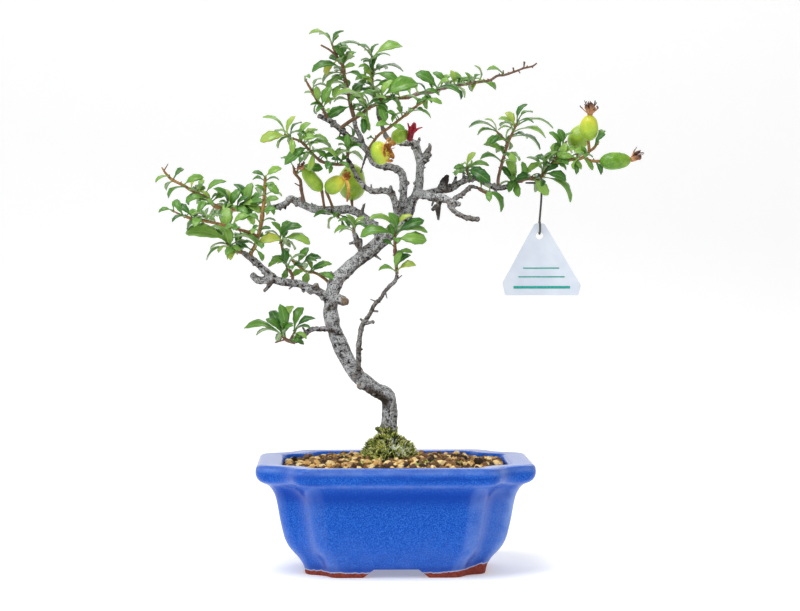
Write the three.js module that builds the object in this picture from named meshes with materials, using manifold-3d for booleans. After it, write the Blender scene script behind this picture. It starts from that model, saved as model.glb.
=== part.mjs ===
// Flowering quince bonsai in a glazed pot: bent grey trunk, leafy stems with fascicles of
// spatulate crenate leaves, young fruits with dried flower remains, a plain hang tag on a wire tie.
// Millimetres, +Z up. Origin: on the standing surface, below the middle of the whole plant.
import * as THREE from 'three';
import { mergeVertices } from 'three/addons/utils/BufferGeometryUtils.js';
import Module from 'manifold-3d';

const wasm = await Module();
wasm.setup();

// Driving dimensions of the pot
const potHalfWidth = 78.7;
const potHalfDepth = 61;
const potHeight = 62.9;
const potFloor = 11;
const footHeight = 4.8;
const footRing = 0.53;
const footGapFront = [18.5, 12.5];
const footGapSide = [12, 7];
const drainRadius = 6;
const drainOffset = 24;
const netHalf = 9;
const netThickness = 1;
const netHole = 6;

// Outer wall and inner wall as [half width, height], from the foot up and from the lip down
const outerWall = [
  [50.5, 0], [51.9, 4.8], [54.6, 9.4], [60.4, 16.4], [63.6, 24.7], [66.6, 40],
  [69.3, 48.2], [72.8, 51.9], [76.9, 54.8], [78.7, 57.4], [78.7, 61.3], [77.2, 62.9],
];
const innerWall = [[64.6, 62.9], [63.4, 61.4], [61.8, 44], [57.5, 24], [51, 14.5], [46, potFloor]];

// Quarter of the rim's plan at full size: wing corner, diagonal cove, front panel corner
const planQuarter = [[78.7, 33], [77.2, 38], [72.5, 40.3], [66, 41.6], [58.8, 48.2], [54.8, 57], [51.5, 61]];

// Soil, moss and the clearance kept between neighbouring pieces
const clearance = 0.3;
const soilLevel = 59.6;
const soilCrown = 4.4;
const soilBottom = potFloor + netThickness + 2 * clearance;
const soilBottomHalfWidth = 47.4;
const soilCrownReach = [60, 45];
const granuleHeight = 0.9;
const granuleWaves = [0.83, 0.79];
const granuleSway = [1.7, 1.9];
const granuleSwayWaves = [0.41, 0.37];
const mossCentre = [-1.8, -4];
const mossRadius = 17.5;
const mossTop = 76;
const mossSeat = 0.5;

// The plant's points are given as they line up seen from the front, at the depth of the pot's middle;
// depths are counted in steps of this many millimetres behind the pot's middle
const depthStep = 1.8;
const viewDistance = 1300;
const viewHeight = 188;
const viewAside = 0.026;

/** Real place of a point that lines up with (x, z) from the front and lies at a real depth. */
function inLine(x, depth, z) {
  const spread = 1 + depth / viewDistance;
  return [x * spread + viewAside * depth, depth, viewHeight + (z - viewHeight) * spread];
}

/** Real place of a listed point, with its radius kept. */
const place = ([x, steps, z, ...radius]) => [...inLine(x, steps * depthStep, z), ...radius];

// Leaf habit
const leafThickness = 0.9;
const petioleWidth = 1;
const rootDepth = 0.6;
const bladeSlenderness = 0.45;
const bladeArch = 0.16;
const facingFront = -0.85;
const facingBack = -0.3;
const rollRange = 1.1;
const breadthRange = [0.85, 1.15];
const rootScatter = 3;
const bladeFold = 0.16;

// Half width of a leaf along its midrib: narrow petiole, spoon-shaped blade with a notched edge
const leafStations = [[0.28, 0.17], [0.52, 0.88], [0.64, 0.78], [0.82, 1]];
const leafMidribs = [0.34, 0.74];

// Each face of a leaf is split into triangles from a midrib point to the edge between two stations
const leafEdgeFans = [[0, 0], [0, 1], [1, 2]];
const midribMeetsStation = 2;

const vec = (x, y, z) => new THREE.Vector3(x, y, z);
const point = (list) => vec(list[0], list[1], list[2]);

/** Turns a closed indexed mesh into a solid for cutting and joining. */
function solidOf(vertices, triangles) {
  return new wasm.Manifold(new wasm.Mesh({
    numProp: 3,
    vertProperties: Float32Array.from(vertices),
    triVerts: Uint32Array.from(triangles),
  }));
}

/** Turns a three.js geometry into a solid, with its shared vertices merged. */
function solidOfGeometry(geometry) {
  const bare = geometry.clone();
  bare.deleteAttribute('normal');
  bare.deleteAttribute('uv');
  const merged = mergeVertices(bare, 1e-4);
  return solidOf(merged.attributes.position.array, merged.index.array);
}

/** Joins solids into one. */
const join = (solids) => wasm.Manifold.union(solids);

/** Keeps the largest separate body of a solid. */
function mainBody(solid) {
  const bodies = solid.decompose();
  return bodies.reduce((best, body) => (body.volume() > best.volume() ? body : best));
}

/** Skins a stack of equal rings of points, counterclockwise seen from the last ring. */
function skin(rings) {
  const count = rings[0].length;
  const vertices = rings.flat().flatMap((p) => [p.x, p.y, p.z]);
  const triangles = [];
  for (let level = 0; level + 1 < rings.length; level += 1) {
    for (let i = 0; i < count; i += 1) {
      const a = level * count + i;
      const b = level * count + ((i + 1) % count);
      triangles.push(a, b, b + count, a, b + count, a + count);
    }
  }
  const centre = (ring) => ring.reduce((sum, p) => sum.add(p), vec(0, 0, 0)).divideScalar(count);
  const ends = [centre(rings[0]), centre(rings[rings.length - 1])];
  const first = rings.length * count;
  vertices.push(...ends[0].toArray(), ...ends[1].toArray());
  const last = (rings.length - 1) * count;
  for (let i = 0; i < count; i += 1) {
    const next = (i + 1) % count;
    triangles.push(first, next, i, first + 1, last + i, last + next);
  }
  return solidOf(vertices, triangles);
}

/** Tapered round tube through [x, y, z, radius] points; swell widens and lengthens it. */
function limb(route, sides, swell = 0) {
  const path = route.map(point);
  const count = path.length;
  const tangents = path.map((p, i) => path[Math.min(i + 1, count - 1)].clone()
    .sub(path[Math.max(i - 1, 0)]).normalize());
  path[0].addScaledVector(tangents[0], -swell);
  path[count - 1].addScaledVector(tangents[count - 1], swell);
  const start = Math.abs(tangents[0].y) < 0.9 ? vec(0, 1, 0) : vec(1, 0, 0);
  const side = start.cross(tangents[0]).normalize();
  const rings = path.map((p, i) => {
    side.addScaledVector(tangents[i], -side.dot(tangents[i])).normalize();
    const up = tangents[i].clone().cross(side);
    const radius = route[i][3] + swell;
    return Array.from({ length: sides }, (unused, k) => {
      const angle = (2 * Math.PI * k) / sides;
      return p.clone().addScaledVector(side, radius * Math.cos(angle))
        .addScaledVector(up, radius * Math.sin(angle));
    });
  });
  return skin(rings);
}

/** Same series of draws from 0 to 1 for a given seed, each time. */
function draws(seed) {
  let state = seed;
  return () => {
    state = (state * 1664525 + 1013904223) % 4294967296;
    return state / 4294967296;
  };
}

/** Rim plan scaled to a half width, at one height, counterclockwise from above. */
function planRing(halfWidth, height, inset = 0) {
  const scale = (halfWidth - inset) / potHalfWidth;
  const quarter = planQuarter.map(([x, y]) => [x * scale, y * scale]);
  const mirrored = quarter.slice().reverse();
  const outline = [
    ...quarter, ...mirrored.map(([x, y]) => [-x, y]),
    ...quarter.map(([x, y]) => [-x, -y]), ...mirrored.map(([x, y]) => [x, -y]),
  ];
  return outline.map(([x, y]) => vec(x, y, height));
}

/** Round post with its axis upright. */
function post(radius, low, high, x, y, sides) {
  const geometry = new THREE.CylinderGeometry(radius, radius, high - low, sides);
  geometry.rotateX(Math.PI / 2);
  geometry.translate(x, y, (low + high) / 2);
  return solidOfGeometry(geometry);
}

/** Straight bar with a trapezium section, wide at the bottom, running along Y or X. */
function wedge([bottom, top], length, alongX) {
  const below = -1;
  const shape = new THREE.Shape([
    new THREE.Vector2(-bottom, below), new THREE.Vector2(bottom, below),
    new THREE.Vector2(top, footHeight), new THREE.Vector2(-top, footHeight),
  ]);
  const geometry = new THREE.ExtrudeGeometry(shape, { depth: length, bevelEnabled: false });
  geometry.translate(0, 0, -length / 2);
  geometry.rotateX(Math.PI / 2);
  if (alongX) geometry.rotateZ(Math.PI / 2);
  return solidOfGeometry(geometry);
}

/** Pot: flared wall with recessed corners, thick lip, four corner feet and two drain holes. */
function pot() {
  const outside = skin(outerWall.map(([halfWidth, height]) => planRing(halfWidth, height)));
  const rise = 1;
  const opening = innerWall.slice().reverse();
  const inside = skin([
    ...opening.map(([halfWidth, height]) => planRing(halfWidth, height)),
    planRing(innerWall[0][0], potHeight + rise),
  ]);
  const recess = skin([
    planRing(footRing * potHalfWidth, -rise), planRing(footRing * potHalfWidth, footHeight),
  ]);
  const cuts = [inside, recess];
  cuts.push(wedge(footGapFront, 4 * potHalfDepth, false), wedge(footGapSide, 4 * potHalfWidth, true));
  [-drainOffset, drainOffset].forEach((x) => cuts.push(post(drainRadius, 0, potFloor + rise, x, 0, 16)));
  return outside.subtract(join(cuts));
}

/** Plastic net lying over a drain hole. */
function drainNet(x) {
  const low = potFloor + clearance;
  const frame = solidOfGeometry(new THREE.BoxGeometry(2 * netHalf, 2 * netHalf, netThickness)
    .translate(x, 0, low + netThickness / 2));
  const holes = [];
  const offset = netHole / 2 + 0.8;
  for (const i of [-offset, offset]) {
    for (const j of [-offset, offset]) {
      holes.push(solidOfGeometry(new THREE.BoxGeometry(netHole, netHole, 4 * netThickness)
        .translate(x + i, j, low)));
    }
  }
  return frame.subtract(join(holes));
}

/** Height of the smooth soil bed, crowned towards the trunk. */
function soilCrownHeight(x, y) {
  const spread = Math.hypot(x / soilCrownReach[0], y / soilCrownReach[1]);
  return soilLevel + soilCrown * Math.max(0, 1 - spread * spread);
}

/** Height of the soil's surface: granules raised by two crossed waves, smooth below the moss. */
function soilHeight(x, y) {
  const fromMoss = Math.hypot(x - mossCentre[0], y - mossCentre[1]) - 1.1 * mossRadius;
  const open = Math.min(1, Math.max(0, fromMoss / 4));
  const across = Math.sin(granuleWaves[0] * x + granuleSway[0] * Math.sin(granuleSwayWaves[0] * y));
  const along = Math.sin(granuleWaves[1] * y + granuleSway[1] * Math.sin(granuleSwayWaves[1] * x));
  return soilCrownHeight(x, y) + granuleHeight * open * across * along;
}

/** Soil filling the pot. */
function soilBody() {
  const walls = innerWall.slice(2).reverse().filter(([, height]) => height > soilBottom);
  const edge = clearance + 0.05;
  const rings = [planRing(soilBottomHalfWidth, soilBottom, edge)];
  walls.forEach(([halfWidth, height]) => rings.push(planRing(halfWidth, height, edge)));
  const rim = innerWall[1][0] - 0.6;
  const raised = (ring) => ring.map((p) => vec(p.x, p.y, soilHeight(p.x, p.y)));
  for (const share of [1, 0.92, 0.83, 0.73, 0.6, 0.45, 0.25]) {
    rings.push(raised(planRing(rim * share, 0, edge)));
  }
  return skin(rings);
}

/** Domed cushion of moss round the foot of the trunk; its rings are [share of radius, rise]. */
function mossDome() {
  const crest = mossTop - soilLevel - soilCrown;
  const steps = [[0.5, 0], [1, 0], [1.02, 2.6], [0.86, 6], [0.62, 9.8], [0.32, crest]];
  const sides = 14;
  return skin(steps.map(([share, rise]) => Array.from({ length: sides }, (unused, k) => {
    const angle = (2 * Math.PI * k) / sides;
    const lobes = 1 + 0.1 * Math.sin(3 * angle + 0.8) + 0.05 * Math.sin(7 * angle);
    const radius = mossRadius * share * lobes;
    const x = mossCentre[0] + radius * Math.cos(angle);
    const y = mossCentre[1] + radius * Math.sin(angle);
    const bump = rise > 0 ? 0.7 * Math.sin(5 * angle + 9 * share) : 0;
    return vec(x, y, soilCrownHeight(x, y) + mossSeat + rise + bump);
  })));
}

// Woody skeleton: [sides, points]; a point is [x, depth steps, z, radius]
const wood = [
  [7, [
    [-3, 2, 30, 3], [-3.5, 1.5, 46, 4.6], [-3.6, 1, 56, 6.2], [-3.6, 1, 63, 6.1],
    [-3.7, 0, 69.5, 5.3], [-3.7, 0, 77, 4.8],
    [-2.9, 0, 85.4, 4.7], [-2.9, -0.5, 93.6, 4.6], [-4.4, -1, 98.9, 4.6], [-10.7, -2, 102.6, 4.5],
    [-17.1, -3, 107.2, 4.5], [-22.6, -4, 112.9, 4.3], [-27.8, -4, 121, 4.2], [-31.2, -4.5, 129, 4.1],
    [-34.7, -5, 138.2, 4.1], [-36, -5, 144, 4.2], [-36.4, -5, 151.3, 4.4], [-35, -5, 160, 4.3],
    [-33.2, -5, 165.4, 4.1], [-28.9, -4.5, 169.7, 4.1], [-22, -4, 176.3, 4], [-15.2, -3, 181.4, 4],
    [-8.3, -2, 187.6, 4], [-0.3, -1, 194.9, 3.9], [5, 0, 199.7, 3.8], [7.7, 1, 204.4, 3.4],
    [9.7, 1.5, 209.3, 3], [12.3, 2, 214.5, 2.7],
  ]],
  [5, [
    [11.5, 2, 213, 2.4], [14, 3, 219.5, 2.5], [14.4, 4, 226.4, 2.4], [14.8, 5, 232.4, 2.4],
    [13, 6, 240.2, 2.3],
    [11, 6.5, 244.2, 2], [6.6, 7, 243.6, 1.8], [1.4, 7, 244.7, 1.6], [-3.7, 7, 246.4, 1.5],
    [-6.1, 7.5, 250.8, 1.4],
    [-7.7, 8, 255.6, 1.3], [-9, 8.5, 260.2, 1.2], [-9.5, 9, 265.2, 1.1],
  ]],
  [5, [[14.8, 5, 232, 1.9], [17.9, 5.5, 234.6, 1.9], [18.4, 6, 238.4, 1.7], [20.3, 6.5, 241.2, 1.3],
  [20, 6.8, 244, 0.7]]],
  [4, [[13, 6, 241, 1.2], [14.4, 7, 247.2, 0.7]]],
  [5, [
    [5.4, 1, 201.2, 2.6], [4.8, 0, 208.1, 2.4], [5.1, -1, 212.9, 2.3], [5.3, -1.5, 218, 2.2],
    [5.1, -2, 223.6, 2.2],
    [3.2, -2.5, 227.8, 2.2], [-0.4, -3, 229.8, 2.1], [-4.6, -3, 230.6, 2.1], [-8.7, -3, 231.2, 2],
    [-11.9, -3, 232.8, 2],
    [-13.2, -2.5, 235.4, 2], [-14.9, -2, 238.6, 2], [-17.6, -2, 241.9, 1.9], [-21, -2, 244.7, 1.9],
    [-25.4, -2.5, 247, 1.8],
    [-29, -3, 250, 1.8], [-33, -3.5, 253.7, 1.7], [-37.5, -4, 256.9, 1.6], [-43.6, -4, 259.6, 1.3],
  ]],
  [4, [[-17.6, -2, 241.9, 1.4], [-19, -1, 247, 1.5], [-22, 0, 252.4, 1.4], [-23.2, 1, 258.8, 1.3]]],
  [4, [[-15.5, -2, 238.6, 0.9], [-17.4, 0, 233.5, 0.8], [-19.4, 1.5, 227, 0.6]]],
  [5, [
    [3, -1, 198.5, 2.4], [1.4, -3, 205.8, 2.2], [0, -4, 211.6, 2.1], [-2.4, -5, 215.7, 2],
    [-6.2, -5, 216.9, 1.8],
    [-10.8, -5, 216.3, 1.7], [-15.4, -5, 217.7, 1.6], [-18.8, -5, 221, 1.5], [-22, -5, 225.8, 1.4],
    [-25.1, -5, 231.6, 1.3],
    [-27, -5, 235.4, 1.1],
  ]],
  [4, [[-1.6, -5, 215.4, 1.4], [-2.2, -5.2, 219.8, 0.9]]],
  [5, [
    [-9, -2, 191.4, 2.6], [-12.9, 0, 197.7, 2.4], [-17.5, 1, 201.4, 2.3], [-22, 2, 204.5, 2.2],
    [-26.8, 3, 206.1, 2.2],
    [-32, 3.5, 205.6, 2.1], [-38.7, 4, 205.4, 2], [-45.8, 4, 206.3, 1.9], [-50.9, 4, 208.2, 1.9],
    [-56.4, 5, 210.9, 1.8],
    [-59.6, 5, 212, 1.9], [-62, 6, 209.4, 1.7], [-66, 6, 207.7, 1.6], [-72.5, 7, 206.6, 1.5],
  ]],
  [4, [[-19, 1.2, 202, 1], [-18, 0, 206.8, 0.9], [-16.6, -0.5, 209.8, 0.35]]],
  [6, [
    [-36, -5, 152, 2.6], [-39, -6, 155.8, 2.5], [-43.6, -8, 159, 2.6], [-49.4, -9, 161.2, 2.1],
    [-54.3, -10, 163.4, 2],
    [-59, -11, 164, 2], [-65, -12, 165, 2], [-70, -13, 166.2, 2], [-74.2, -13.5, 165.6, 1.8],
    [-78.2, -14, 165.8, 1.6],
    [-81.6, -14, 169, 1.4],
  ]],
  [4, [[-70, -13, 165.8, 1.3], [-72, -12.6, 162, 1.1], [-74.8, -12, 159.2, 0.9]]],
  [5, [
    [-69.6, -13, 166, 1.6], [-71.5, -13.4, 168.5, 1.7], [-75.6, -14, 172.4, 1.6], [-79.6, -15, 176, 1.5],
    [-83.6, -16, 179.2, 1.4], [-86.6, -16, 181.3, 1.3],
  ]],
  [4, [[-43.6, -8, 159.4, 1.6], [-45, -9.5, 162.6, 1.5]]],
  [4, [[-35.6, -5.6, 153, 1.6], [-31.6, -7, 154.6, 2.2], [-28.6, -7.6, 154.2, 2]]],
  [5, [
    [-34.5, -5, 137, 1.6], [-37.4, -8, 137.5, 1.3], [-42.4, -10, 137.6, 1.2],
    [-47.4, -11, 137.4, 1.2], [-51.2, -12, 134.8, 1.2],
    [-56.6, -13, 130, 1.2],
  ]],
  [4, [
    [-22, -4, 112.6, 1.7], [-20.7, -8.5, 114.8, 1.5], [-20.6, -10, 122, 1.3], [-20.5, -11, 129, 1.3],
    [-19.4, -11, 135.9, 1.3],
    [-18.6, -11.4, 139.4, 1.3], [-16.4, -12, 142.9, 1.2], [-13.6, -12, 147, 1.2],
    [-11.4, -12, 151.6, 1.2], [-7.8, -12, 155, 1.2],
    [-6, -12, 158.4, 1.1], [-3, -13, 161.7, 1.1], [0.4, -13, 165.2, 1.1], [1.5, -13.2, 168.8, 1],
  ]],
  [4, [[-18.2, -11.4, 140, 0.9], [-13.6, -13, 141.4, 0.9], [-11.8, -13.4, 141.6, 1.1]]],
  [4, [[-19, -3.6, 179, 1.6], [-19.8, -4.4, 183, 1.4], [-21.4, -5, 188.4, 1.4],
  [-22.4, -5, 190.8, 1.7], [-23.2, -5.2, 192.4, 1.2]]],
  [4, [[-21, -4.8, 187.4, 0.9], [-26, -5.4, 186.4, 0.8]]],
  [4, [[-8.4, -1, 101, 1.2], [-12.4, -4.8, 99, 0.7]]],
  [4, [[-7, 0, 77.6, 1.4], [-10.6, -2, 80.6, 1]]],
  [5, [
    [9.8, 1, 211.6, 2.4], [13.8, 0, 215.2, 2.6], [18, -3, 214, 2.5], [22.1, -5, 213, 2.5],
    [26.6, -6, 212.8, 2.4],
    [30.1, -7, 211.4, 2.3], [34.7, -8, 209.5, 1.9], [37.8, -8, 208.9, 1.4],
  ]],
  [4, [
    [30.5, -7.5, 210, 1.3], [32, -8.6, 207.6, 1.2], [34.4, -10, 205, 1.2], [37.8, -12, 202.7, 1.1],
    [42.6, -13, 201, 1],
    [48.4, -14, 200.3, 0.7],
  ]],
  [4, [[25, -6, 211.6, 1.2], [24.6, -6.6, 206.6, 1], [25.2, -6.8, 202.8, 0.5]]],
  [5, [
    [17.4, -2, 214.4, 2.2], [22.5, 1.5, 216.2, 2.1], [28.9, 4, 217, 2], [33.4, 5, 218.4, 2],
    [37, 6, 220.9, 1.9],
    [40.6, 6, 222.6, 1.8], [43.8, 7, 224, 1.8], [48.4, 7.4, 223.6, 1.7], [52.6, 8, 220.8, 1.7],
    [56.2, 8.4, 219.2, 1.6],
    [60.6, 9, 218.4, 1.6], [65.6, 9, 219.4, 1.5],
  ]],
  [4, [[27.4, 3, 217.6, 1.8], [28.6, 3.4, 222.4, 1.6], [30.4, 3.8, 225.4, 0.7]]],
  [4, [[33.2, 5, 219, 1.3], [35.4, 5.2, 224.8, 0.8]]],
  [4, [[39.8, 6, 223.4, 0.9], [39.4, 6, 227.6, 0.6]]],
  [4, [[57, 8.6, 218.4, 0.9], [59.6, 8, 214.4, 0.7]]],
  [4, [[32.6, -7, 210.6, 1.6], [36, -4.6, 213, 1.5], [39.4, -2.4, 215.2, 1.4], [43.4, 0, 219, 1.3],
  [48, 1, 218.2, 1.2]]],
];

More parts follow.
